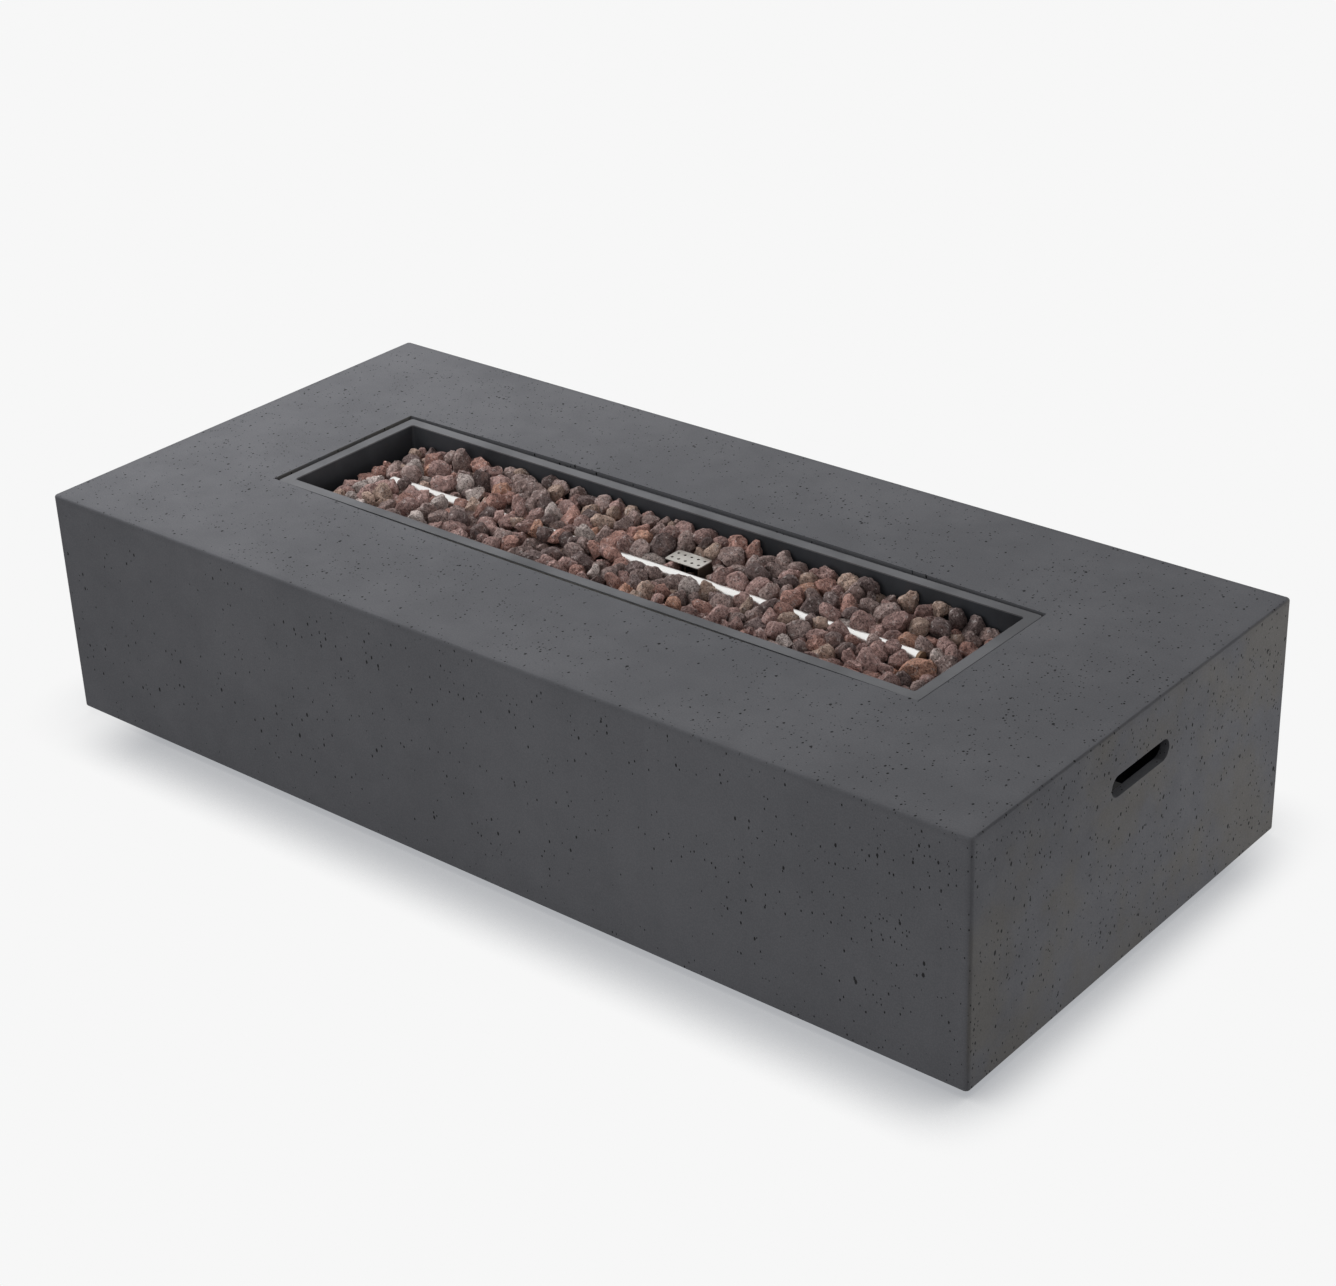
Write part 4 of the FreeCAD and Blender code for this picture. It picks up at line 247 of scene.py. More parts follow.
def concrete_finish(look):
    """Cast concrete: clouded grey, drag marks down the sides, air holes with painted shade inside, and
    painted shade as a darker line along the edges.
    """
    finish = Finish("concrete_cast", Specular_IOR_Level=0.12)
    x, y, z = finish.axes()
    facing = finish.facing()
    side = finish.ramp(finish.absolute(facing["Z"]), 0.75, 0.35)
    cloud = finish.noise(3.2, 4.0, 0.5)
    mottle = finish.noise(17.0, 6.0, 0.62)
    grain = finish.noise(420.0, 2.0, 0.6)
    streak = finish.noise(1.0, 4.0, 0.6, finish.stretched((26.0, 26.0, 1.6)))
    tone = finish.math("ADD", finish.times(cloud, 0.6), finish.times(mottle, 0.4))
    tone = finish.ramp(tone, 0.30, 0.70)
    colour = finish.mix(tone, look.dark, look.light)
    streak_share = finish.times(finish.ramp(streak, 0.50, 0.72), finish.times(side, 0.40))
    colour = finish.mix(streak_share, colour, look.dark)
    stain_share = finish.times(finish.ramp(finish.noise(6.5, 4.0, 0.6), 0.38, 0.62),
                               finish.times(finish.ramp(facing["X"], 0.3, 0.9), 0.60))
    colour = finish.mix(stain_share, colour, look.stain)
    speck = finish.ramp(grain, 0.30, 0.70, 0.92, 1.08)
    specks = finish.node("ShaderNodeCombineXYZ", {"X": speck, "Y": speck, "Z": speck}).outputs[0]
    colour = finish.mix(1.0, colour, specks, "MULTIPLY")
    # Painted shade along the edges: the second smallest distance to the shell's outer faces is small there
    from_end = finish.minus(float(SHELL_HIGH[0]), finish.absolute(x))
    from_side = finish.minus(float(SHELL_HIGH[1]), finish.absolute(y))
    from_top = finish.minus(float(SHELL_HIGH[2]), z)
    nearest = finish.math("MINIMUM", from_end, from_side)
    other = finish.larger(from_end, from_side)
    edge = finish.larger(nearest, finish.math("MINIMUM", other, from_top))
    ragged = finish.times(finish.noise(55.0, 3.0), 0.5 * look.crease_width)
    # Painted shade: a thin dark line on the edge, held stronger at the ends than along the long sides, and a
    # broad soft shade beside it
    line = finish.ramp(finish.minus(edge, ragged), look.crease_width, 0.15 * look.crease_width)
    soft_shade = finish.ramp(edge, 4.0 * look.crease_width, look.crease_width, 0.0, 0.10)
    edge_shade_strength = finish.ramp(from_side, 0.008, 0.020, 0.20, 0.50)
    darkening = finish.larger(soft_shade, finish.times(line, edge_shade_strength))
    colour = finish.mix(darkening, colour, look.edge_shade)
    # Air holes: a share of the cells hold one, more of them in patches and on the sides
    patch = finish.ramp(finish.noise(9.0, 3.0), 0.36, 0.66, 0.50, 1.70)
    long_side = finish.ramp(finish.absolute(facing["Y"]), 0.5, 0.8)
    spared = finish.times(long_side, finish.ramp(x, 0.45, 0.85, 0.48, 0.15))
    facing_end = finish.ramp(finish.absolute(facing["X"]), 0.5, 0.8, 0.85, 1.50)
    crowd = finish.times(patch, finish.minus(facing_end, spared))
    depth = 0.0
    for widen, small, large, share in PIT_LAYERS:
        pitch = look.pit_pitch * widen
        cells = finish.cells(1.0 / pitch, place=finish.stretched((1.0, 0.85, 0.55), (0.10, 0.05, 0.0)))
        draw = finish.axes(cells.outputs["Color"])
        held = finish.math("LESS_THAN", draw[0], finish.times(crowd, share))
        reach = finish.ramp(finish.math("POWER", draw[1], 1.5), 0.0, 1.0, small, large)
        hole = finish.ramp(finish.minus(cells.outputs["Distance"], reach), 0.030, -0.020)
        depth = finish.larger(depth, finish.times(hole, held))
    # The air holes' insides get painted shade; their depth also sinks them in the bump
    colour = finish.mix(depth, colour, look.pit)
    relief = finish.minus(finish.times(mottle, 0.25), depth)
    shaped = finish.bump(relief, 0.0016, 0.8)
    shaped = finish.bump(grain, 0.00022, 0.55, shaped)
    finish.set(Base_Color=colour, Roughness=finish.ramp(tone, 0.0, 1.0, 0.72, 0.56), Normal=shaped)
    return finish.material


def pan_finish(look):
    """Grey on the pan's flat rim, near black below it."""
    finish = Finish("pan_paint", Specular_IOR_Level=0.15)
    z = finish.axes()["Z"]
    rim = finish.ramp(z, float(RIM_LOW[2]) - 0.0004, float(RIM_LOW[2]) + 0.0002)
    cloud = finish.ramp(finish.noise(9.0, 5.0), 0.3, 0.7)
    dust = finish.ramp(finish.noise(60.0, 4.0, 0.7), 0.55, 0.8)
    grey = finish.mix(cloud, [0.82 * part for part in look.rim], [1.12 * part for part in look.rim])
    black = finish.mix(cloud, look.paint, [1.9 * part for part in look.paint])
    black = finish.mix(finish.times(dust, 0.25), black, (0.10, 0.075, 0.065))
    finish.set(Base_Color=finish.mix(rim, black, grey),
               Roughness=finish.ramp(cloud, 0.0, 1.0, 0.62, 0.48),
               Normal=finish.bump(finish.noise(900.0, 2.0), 0.0001, 0.5))
    return finish.material


def metal_finish(name, colour, low=0.25, high=0.42, grain=(1.0, 1.0, 1.0), spread=0.16, soil=0.0,
                 soot_and_shade=False):
    """Bare or plated metal: cloudy sheen, fine grain drawn out along one way, soil, and at the flame soot
    with painted shade below the hood's top.
    """
    finish = Finish(name, Metallic=1.0)
    cloud = finish.ramp(finish.noise(45.0, 5.0, 0.6), 0.32, 0.68)
    lines = finish.noise(1.0, 3.0, 0.7, finish.stretched([1400.0 * part for part in grain]))
    shade = finish.mix(cloud, [(1.0 - spread) * part for part in colour], colour)
    if soil:
        darkening = finish.ramp(finish.noise(120.0, 4.0, 0.7), 0.52, 0.72)
        shade = finish.mix(finish.times(darkening, soil), shade, (0.09, 0.075, 0.06))
    if soot_and_shade:
        x, _, z = finish.axes()
        hood_middle = float(HOOD_LOW[0] + HOOD_HIGH[0]) / 2
        beside = finish.ramp(finish.absolute(finish.minus(x, hood_middle)), 0.055, 0.040)
        under = finish.ramp(z, float(HOOD_HIGH[2]) - 0.0004, float(HOOD_HIGH[2]) - 0.0030)
        # Soot and painted shade on the stainless below the hood's top, beside the pilot
        shade = finish.mix(finish.times(finish.times(beside, under), 0.86), shade, SOOT_AND_SHADE)
    rough = finish.math("ADD", finish.ramp(cloud, 0.0, 1.0, low, high), finish.times(lines, 0.08))
    finish.set(Base_Color=shade, Roughness=rough, Normal=finish.bump(lines, 0.00004, 0.35))
    return finish.material


def heated_finish(look):
    """Steel browned by the flame, straw to blue in bands."""
    finish = Finish("heat_tinted_steel", Metallic=0.85)
    heat = finish.noise(130.0, 4.0, 0.65)
    shade = finish.mix(finish.ramp(heat, 0.35, 0.6), look.tinted, [1.7 * part for part in look.tinted])
    shade = finish.mix(finish.ramp(heat, 0.60, 0.75), shade, (0.10, 0.11, 0.16))
    finish.set(Base_Color=shade, Roughness=finish.ramp(heat, 0.3, 0.7, 0.34, 0.56),
               Normal=finish.bump(heat, 0.0002, 0.4))
    return finish.material


def moulded_finish(name, colour, rough=0.5, grain_scale=700.0, depth=0.00008, dusty=0.12, level=0.5):
    """Moulded or dipped stuff: an even colour with dust, handling marks and a fine grain."""
    finish = Finish(name, Specular_IOR_Level=level)
    cloud = finish.ramp(finish.noise(35.0, 5.0, 0.6), 0.3, 0.7)
    marks = finish.ramp(finish.noise(1.0, 3.0, 0.7, finish.stretched((90.0, 500.0, 60.0))), 0.58, 0.74)
    shade = finish.mix(cloud, [0.8 * part for part in colour], [min(1.0, 1.15 * part) for part in colour])
    shade = finish.mix(finish.times(marks, dusty), shade, (0.35, 0.33, 0.30))
    finish.set(Base_Color=shade,
               Roughness=finish.ramp(cloud, 0.0, 1.0, rough - 0.08, rough + 0.08),
               Normal=finish.bump(finish.noise(grain_scale, 3.0, 0.6), depth, 0.6))
    return finish.material


def battery_finish(look):
    """A dark wrapper with a copper coloured band round one end and a bare tip."""
    finish = Finish("battery_wrap", Roughness=0.35)
    along = finish.axes()["Y"]
    start, end = float(BATTERY_LOW[1]), float(BATTERY_HIGH[1])
    band = finish.ramp(along, start + 0.70 * (end - start), start + 0.71 * (end - start))
    tip = finish.ramp(along, end - 0.0014, end - 0.0010)
    wear = finish.ramp(finish.noise(180.0, 3.0), 0.35, 0.65)
    dark = finish.mix(wear, (0.012, 0.012, 0.013), (0.022, 0.022, 0.024))
    shade = finish.mix(band, dark, look.copper)
    finish.set(Base_Color=finish.mix(tip, shade, look.zinc), Metallic=finish.times(band, 0.8))
    return finish.material


def fibre_finish():
    """Pressed ceramic fibre: off white, matted and fuzzy."""
    finish = Finish("fibre_strip", Roughness=0.95, Specular_IOR_Level=0.1)
    strands = finish.noise(1.0, 4.0, 0.7, finish.stretched((300.0, 300.0, 1500.0)), 1.5)
    shade = finish.mix(finish.ramp(strands, 0.3, 0.7), (0.40, 0.38, 0.33), (0.62, 0.60, 0.55))
    finish.set(Base_Color=shade, Normal=finish.bump(strands, 0.0006, 0.8))
    return finish.material


def porcelain_finish():
    """Glazed insulator with a few dark specks and soot towards its top."""
    finish = Finish("porcelain", Roughness=0.16, Coat_Weight=0.4, Coat_Roughness=0.08)
    specks = finish.ramp(finish.noise(600.0, 2.0), 0.66, 0.74)
    ragged = finish.math("ADD", finish.axes()["Z"], finish.times(finish.noise(150.0), 0.01))
    soot = finish.ramp(ragged, 0.330, 0.346)
    shade = finish.mix(specks, (0.80, 0.78, 0.72), (0.30, 0.24, 0.18))
    finish.set(Base_Color=finish.mix(finish.times(soot, 0.7), shade, (0.10, 0.09, 0.08)))
    return finish.material


def rock_finish():
    """Porous lava rock: each rock's own colour, rust and ash in patches, and pores of several sizes with
    painted shade inside.
    """
    finish = Finish("lava_rock", Specular_IOR_Level=0.12)
    own = finish.node("ShaderNodeAttribute", attribute_name="rock_colour").outputs["Color"]
    cloud = finish.ramp(finish.noise(60.0, 5.0, 0.65), 0.32, 0.68)
    crust = finish.ramp(finish.noise(210.0, 4.0, 0.70), 0.34, 0.66)
    shade = finish.mix(0.50, own, finish.mix(cloud, (0.45, 0.43, 0.44), (1.0, 0.99, 0.98)), "MULTIPLY")
    shade = finish.mix(0.55, shade, finish.mix(crust, (0.32, 0.30, 0.30), (1.38, 1.38, 1.38)), "MULTIPLY")
    rust = finish.ramp(finish.noise(38.0, 4.0, 0.6), 0.55, 0.70)
    shade = finish.mix(finish.times(rust, 0.20), shade, (0.34, 0.155, 0.105))
    ash = finish.ramp(finish.noise(140.0, 4.0, 0.7), 0.55, 0.68)
    shade = finish.mix(finish.times(ash, 0.55), shade, (0.74, 0.67, 0.645))
    pores = 0.0
    for pitch, low, high in ((0.0060, 0.30, 0.12), (0.0034, 0.34, 0.14), (0.0018, 0.38, 0.15)):
        distance = finish.cells(1.0 / pitch).outputs["Distance"]
        pores = finish.larger(pores, finish.ramp(distance, low, high))
    # Painted shade inside the pores
    shade = finish.mix(finish.times(pores, 0.66), shade, (0.045, 0.032, 0.031))
    height = finish.math("ADD", finish.times(cloud, 0.6), finish.times(crust, 0.5))
    finish.set(Base_Color=shade, Roughness=finish.ramp(cloud, 0.0, 1.0, 0.94, 0.80),
               Normal=finish.bump(finish.minus(height, pores), 0.0012, 0.80))
    return finish.material


def print_finish():
    """Pale enamel of the dial's marks, slightly worn."""
    finish = Finish("dial_print", Roughness=0.45)
    wear = finish.ramp(finish.noise(420.0, 3.0), 0.60, 0.72)
    finish.set(Base_Color=finish.mix(wear, (0.72, 0.72, 0.70), (0.40, 0.40, 0.39)))
    return finish.material


def dress(finishes):
    """Give every CAD node of a slot its finish."""
    found = set()
    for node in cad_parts.values():
        for holder in node.material_slots:
            slot = holder.material.name.split(".")[0]
            if slot in finishes:
                holder.material = finishes[slot]
                found.add(slot)
    missing = set(finishes) - found
    if missing:
        raise RuntimeError(f"no part has the slots {sorted(missing)}")


# Modelling helpers

def deselect():
    if bpy.context.object and bpy.context.object.mode != "OBJECT":
        bpy.ops.object.mode_set(mode="OBJECT")
    bpy.ops.object.select_all(action="DESELECT")


def select(*pieces):
    deselect()
    for piece in pieces:
        piece.select_set(True)
    bpy.context.view_layer.objects.active = pieces[0]


def apply_modifier(piece, kind, **settings):
    select(piece)
    modifier = piece.modifiers.new(kind.lower(), kind)
    for name, setting in settings.items():
        setattr(modifier, name, setting)
    bpy.ops.object.modifier_apply(modifier=modifier.name)


def apply_place(piece):
    select(piece)
    bpy.ops.object.transform_apply(location=True, rotation=True, scale=True)


def keep(piece, name, material, body="table", stands_for=()):
    """Name a finished piece, give it its material and hang it on its body."""
    piece.name = piece.data.name = name
    piece.data.materials.clear()
    piece.data.materials.append(material)
    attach(piece, body)
    if stands_for:
        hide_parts(*stands_for)
    return piece


def joined(pieces):
    select(*pieces)
    if len(pieces) > 1:
        bpy.ops.object.join()
    return bpy.context.view_layer.objects.active


# Lava rock

ROCK_SHAPES = 16
HIDDEN_SHAPES = 6
SHOWN_FACES = 420
HIDDEN_FACES = 90
# A shape worked on a ball of radius 1: facets, how deep they cut, swellings by kind, size and strength
FACETS = (7, 13)
FACET_DEPTHS = (0.54, 0.84)
ROCK_VOXEL = 0.10
SWELLINGS = (("CLOUDS", 0.95, 0.34), ("CLOUDS", 0.34, 0.11), ("VORONOI", 0.32, 0.09))
SHAPE_STEP = (7.3, 3.1, 1.7)
ROCK_TONES = (  # colour and share
    ((0.475, 0.318, 0.292), 0.34),   # mauve brown
    ((0.400, 0.304, 0.282), 0.25),   # taupe
    ((0.510, 0.303, 0.258), 0.12),   # brick
    ((0.620, 0.362, 0.272), 0.04),   # orange
    ((0.560, 0.418, 0.345), 0.09),   # tan
    ((0.235, 0.180, 0.172), 0.13),   # charcoal
    ((0.600, 0.520, 0.490), 0.03),   # ashy
)
# The pan's inside: low and high corner, a little off its sheet and under the table's top
SHEET_GAP = 0.001
TOP_GAP = 0.004
PAN_ROOM = ([float(low) + PAN_SHEET + SHEET_GAP for low in PAN_LOW],
            [float(high) - PAN_SHEET - SHEET_GAP for high in PAN_HIGH[:2]] + [float(SHELL_HIGH[2]) - TOP_GAP])
TUBE_AXIS = Vector((0.0, 0.0, (TUBE_LOW[2] + TUBE_HIGH[2]) / 2))
TUBE_RADIUS = (TUBE_HIGH[2] - TUBE_LOW[2]) / 2
# The burner's domed left end and flat right end, past its tube
DOME_LENGTH = 0.011
PLUG_LENGTH = 0.005
# Middle, half size and top of the pilot, and of the inlet pipe with its collar
OBSTACLES = (((0.06, 0.05), (0.038, 0.024), 0.371), ((0.0, 0.0), (0.012, 0.012), 0.353))
# How far a rock reaches past its middle, in radii: along, across and below, on the floor, towards the eye
REACH_ALONG, REACH_ACROSS, REACH_BELOW = 1.10, 0.92, 0.6
REACH_FLOOR = 0.95
REACH_SEEN = 1.28
# Stretches of the burner that show between the rocks, along the table
BARE_STRETCHES = ((-0.532, -0.510), (-0.481, -0.434), (-0.426, -0.377), (-0.026, 0.242), (0.288, 0.318),
                  (0.356, 0.369), (0.400, 0.430), (0.455, 0.466), (0.500, 0.534))
# The lie of the rocks against the burner, seen from the camera's side
VIEW_LEAN = 0.857
VIEW_NORMAL = (0.567, 0.824)
SHOWN_ABOVE = 0.0080
STRETCH_MARGIN = 0.7  # in radii, past both ends of a bare stretch
HOOD_MARGIN = 0.8  # in radii, right of the hood
FRONT_SIDE = 0.02  # rocks nearer the eye than this can hide the burner
LEFT_GAP = 0.020
# Where the rocks start to lie lower towards the pan's ends, and over what length
DROP_START, DROP_RUN = 0.50, 0.12
# Rocks that lean on the burner: their radii, the lean's angles, their spacing and gaps to a bare stretch
LEANING_RADII = (0.0105, 0.0150)
LEANING_ANGLES = (34.0, 50.0)
LEANING_BRIM = 0.0115
LEANING_PITCH = 1.55  # in radii
LEANING_GAPS = (0.012, 0.006)
# The settling: steps, and how far the balls sink, overlap, push and look ahead in one
SETTLE_STEPS, QUICK_STEPS = 300, 60
PUSHES = 4
SINK = 0.0022
OVERLAP = 0.97
PUSH = 0.45
LOOK_AHEAD = 0.009
BED_MARGIN = 0.004  # rocks with their top this far over the bed's still belong to it
# Rocks with a place of their own: middle, radius and colour. Two under the hood's edge, two at the right end
PLACED_ROCKS = (((0.039, 0.0290, 0.3500), 0.0130, 0), ((0.076, 0.0265, 0.3470), 0.0115, 1),
                ((0.5435, -0.0360, 0.3620), 0.0210, 3), ((0.5120, -0.0560, 0.3520), 0.0165, 3))


def rock_shape(number, draw, kept_faces):
    """One rock to copy: a ball cut to facets, then swollen and pitted unevenly."""
    deselect()
    bpy.ops.mesh.primitive_ico_sphere_add(subdivisions=3, radius=1.0, location=(0.0, 0.0, 0.0))
    rock = bpy.context.object
    bpy.ops.object.mode_set(mode="EDIT")
    for _ in range(draw.integers(*FACETS)):
        normal = Vector(draw.normal(size=3)).normalized()
        bpy.ops.mesh.select_all(action="SELECT")
        bpy.ops.mesh.bisect(plane_co=normal * draw.uniform(*FACET_DEPTHS), plane_no=normal,
                            use_fill=True, clear_outer=True)
    bpy.ops.mesh.select_all(action="SELECT")
    # Each shape is worked at a place of its own, so that the swellings differ
    far = Vector([step * number for step in SHAPE_STEP])
    bpy.ops.transform.translate(value=far)
    bpy.ops.object.mode_set(mode="OBJECT")
    apply_modifier(rock, "REMESH", mode="VOXEL", voxel_size=ROCK_VOXEL)
    for kind, size, strength in SWELLINGS:
        texture = bpy.data.textures.new(f"rock_{kind.lower()}_{size}", kind)
        texture.noise_scale = size
        apply_modifier(rock, "DISPLACE", texture=texture, texture_coords="LOCAL", mid_level=0.5,
                       strength=strength)
        bpy.data.textures.remove(texture)
    triangles = sum(len(face.vertices) - 2 for face in rock.data.polygons)
    apply_modifier(rock, "DECIMATE", decimate_type="COLLAPSE", ratio=min(1.0, kept_faces / triangles))
    spots = np.empty(3 * len(rock.data.vertices))
    rock.data.vertices.foreach_get("co", spots)
    spots = spots.reshape(-1, 3)
    middle = (spots.max(axis=0) + spots.min(axis=0)) / 2
    radius = np.linalg.norm(spots - middle, axis=1).mean()
    rock.data.transform(Matrix.Scale(1.0 / radius, 4) @ Matrix.Translation(-Vector(middle)))
    select(rock)
    bpy.ops.object.shade_smooth_by_angle(angle=math.radians(29.0))
    rock.data.name = f"rock_shape_{number}"
    mesh = rock.data
    bpy.data.objects.remove(rock)
    return mesh


def brim_height(x, look):
    """The highest that rock lies, for a place along the pan."""
    top = float(SHELL_HIGH[2]) - look.brim
    along = np.clip((np.abs(x) - DROP_START) / DROP_RUN, 0.0, 1.0)
    return top - look.end_drop * along


def push_out(spots, radii, look):
    """Move the balls out of the pan's walls, the burner, the pilot and the inlet."""
    half_length = PAN_HIGH[0] - PAN_SHEET - SHEET_GAP
    half_width = PAN_HIGH[1] - PAN_SHEET - SHEET_GAP
    floor = PAN_LOW[2] + PAN_SHEET
    # Burner
    beside = np.clip(spots[:, 0], TUBE_LOW[0] - DOME_LENGTH, TUBE_HIGH[0] + PLUG_LENGTH)
    away = np.stack([spots[:, 0] - beside, spots[:, 1], spots[:, 2] - TUBE_AXIS.z], axis=1)
    distance = np.linalg.norm(away, axis=1) + 1e-9
    short = np.maximum(0.0, TUBE_RADIUS + radii - distance)
    spots += away / distance[:, None] * short[:, None]
    for centre, half, top in OBSTACLES:
        over_x = half[0] + REACH_ALONG * radii - np.abs(spots[:, 0] - centre[0])
        over_y = half[1] + REACH_ACROSS * radii - np.abs(spots[:, 1] - centre[1])
        inside = (over_x > 0) & (over_y > 0) & (spots[:, 2] - REACH_BELOW * radii < top)
        by_x = inside & (over_x < over_y)
        by_y = inside & ~by_x
        spots[by_x, 0] += np.sign(spots[by_x, 0] - centre[0]) * over_x[by_x]
        spots[by_y, 1] += np.sign(spots[by_y, 1] - centre[1]) * over_y[by_y]
    # Rock in front of a bare stretch lies under the line of sight to the burner
    seen_at = spots[:, 0] + VIEW_LEAN * spots[:, 1]
    lift = spots[:, 1] * VIEW_NORMAL[0] + (spots[:, 2] - TUBE_AXIS.z) * VIEW_NORMAL[1] + REACH_SEEN * radii
    margin = STRETCH_MARGIN * radii
    for start, end in BARE_STRETCHES:
        hides = (seen_at > start - margin) & (seen_at < end + margin) & (spots[:, 1] < FRONT_SIDE)
        over = np.where(hides, np.maximum(0.0, lift - SHOWN_ABOVE), 0.0)
        spots[:, 2] -= over * VIEW_NORMAL[1]
        spots[:, 1] -= np.where(spots[:, 1] < 0.0, over * VIEW_NORMAL[0], 0.0)
    # Rock right of the pilot lies under the line of sight to its hood
    hood_y = (HOOD_LOW[1] + HOOD_HIGH[1]) / 2
    hood_end = HOOD_HIGH[0] + VIEW_LEAN * HOOD_HIGH[1] + HOOD_MARGIN * radii
    beside = (spots[:, 0] > HOOD_HIGH[0]) & (seen_at < hood_end)
    beside &= np.abs(spots[:, 1] - hood_y) < HOOD_HIGH[1] - hood_y + radii
    lift = ((spots[:, 1] - hood_y) * VIEW_NORMAL[0] + (spots[:, 2] - HOOD_HIGH[2]) * VIEW_NORMAL[1]
            + REACH_SEEN * radii)
    spots[:, 2] -= np.where(beside, np.maximum(0.0, lift), 0.0) * VIEW_NORMAL[1]
    np.clip(spots[:, 0], -half_length + LEFT_GAP + radii, half_length - radii, out=spots[:, 0])
    np.clip(spots[:, 1], -half_width + radii, half_width - radii, out=spots[:, 1])
    spots[:, 2] = np.minimum(spots[:, 2], brim_height(spots[:, 0], look) - radii)
    spots[:, 2] = np.maximum(spots[:, 2], floor + REACH_FLOOR * radii)


def riding_rocks(draw):
    """Rocks that lean on the covered burner, and the placed ones: middles, radii and given colours."""
    spots, radii = [], []
    edges = [BARE_STRETCHES[0][0]] + [end for stretch in BARE_STRETCHES for end in stretch][1:]
    for start, end in zip(edges[1::2], edges[2::2]):
        place = start + LEANING_GAPS[0]
        while place < end - LEANING_GAPS[1]:
            radius = draw.uniform(*LEANING_RADII)
            lean = math.radians(draw.uniform(*LEANING_ANGLES))
            reach = TUBE_RADIUS + radius
            y, z = -reach * math.cos(lean), TUBE_AXIS.z + reach * math.sin(lean)
            z = min(z, SHELL_HIGH[2] - LEANING_BRIM - radius)
            spots.append((place - VIEW_LEAN * y, y, z))
            radii.append(radius)
            place += LEANING_PITCH * radius
    given = {}
    for spot, radius, tone in PLACED_ROCKS:
        given[len(spots)] = tone
        spots.append(spot)
        radii.append(radius)
    return np.array(spots), np.array(radii), given


def close_pairs(spots, radii):
    """Pairs of balls that could meet before the next look round."""
    away = ((spots[:, None, :] - spots[None, :, :]) ** 2).sum(axis=2)
    near = away < (radii[:, None] + radii[None, :] + LOOK_AHEAD) ** 2
    return np.nonzero(np.triu(near, 1))


def part_pairs(spots, radii, free, pairs):
    """Push overlapping balls apart, a fixed one not at all."""
    first, second = pairs
    apart = spots[first] - spots[second]
    distance = np.sqrt((apart ** 2).sum(axis=1)) + 1e-9
    over = np.maximum(0.0, OVERLAP * (radii[first] + radii[second]) - distance)
    push = PUSH * apart * (over / distance / np.maximum(free[first] + free[second], 1.0))[:, None]
    for axis in range(3):
        spots[:, axis] += np.bincount(first, push[:, axis], len(spots)) * free
        spots[:, axis] -= np.bincount(second, push[:, axis], len(spots)) * free


def settle_rocks(look):
    """Drop balls of the rocks' sizes into the pan and let them push each other to rest."""
    draw = np.random.default_rng(look.seed)
    leaning, leaning_radii, given = riding_rocks(draw)
    fixed = len(leaning)
    loose = look.count - fixed
    sizes = look.smallest + (look.largest - look.smallest) * draw.beta(1.5, 2.0, loose)
    radii = np.concatenate([leaning_radii, sizes])
    half_length = PAN_HIGH[0] - PAN_SHEET
    half_width = PAN_HIGH[1] - PAN_SHEET
    start = np.stack([draw.uniform(-half_length, half_length, loose),
                      draw.uniform(-half_width, half_width, loose),
                      draw.uniform(PAN_LOW[2] + 0.01, SHELL_HIGH[2] + 0.05, loose)], axis=1)
    spots = np.concatenate([leaning, start])
    free = np.ones(len(spots))
    free[:fixed] = 0.0
    steps = SETTLE_STEPS
    for step in range(steps):
        if step % PUSHES == 0:
            pairs = close_pairs(spots, radii)
        spots[fixed:, 2] -= SINK * (1.0 - step / steps)
        for _ in range(PUSHES):
            part_pairs(spots, radii, free, pairs)
            push_out(spots[fixed:], radii[fixed:], look)
    return spots, radii, given, draw


def rock_copy(mesh, spot, radius, draw, tone):
    """A copy of one rock shape with its own mesh, size, turn and colour, flat where it meets the pan."""
    own = mesh.copy()
    flat = [draw.uniform(1.00, 1.42), draw.uniform(0.92, 1.18), draw.uniform(0.82, 1.02)]
    turn = Euler(draw.uniform(0.0, 2.0 * math.pi, 3)).to_matrix().to_4x4()
    size = Matrix.Diagonal([radius * part for part in flat] + [1.0])
    own.transform(Matrix.Translation(Vector(spot)) @ turn @ size)
    points = np.empty(3 * len(own.vertices))
    own.vertices.foreach_get("co", points)
    points = np.clip(points.reshape(-1, 3), *PAN_ROOM)
    own.vertices.foreach_set("co", points.ravel())
    own.update()
    colours = own.color_attributes.new(name="rock_colour", type="FLOAT_COLOR", domain="POINT")
    row = np.tile(np.append(tone, 1.0), len(own.vertices)).astype(np.float32)
    colours.data.foreach_set("color", row)
    piece = bpy.data.objects.new("rock", own)
    bpy.context.scene.collection.objects.link(piece)
    return piece


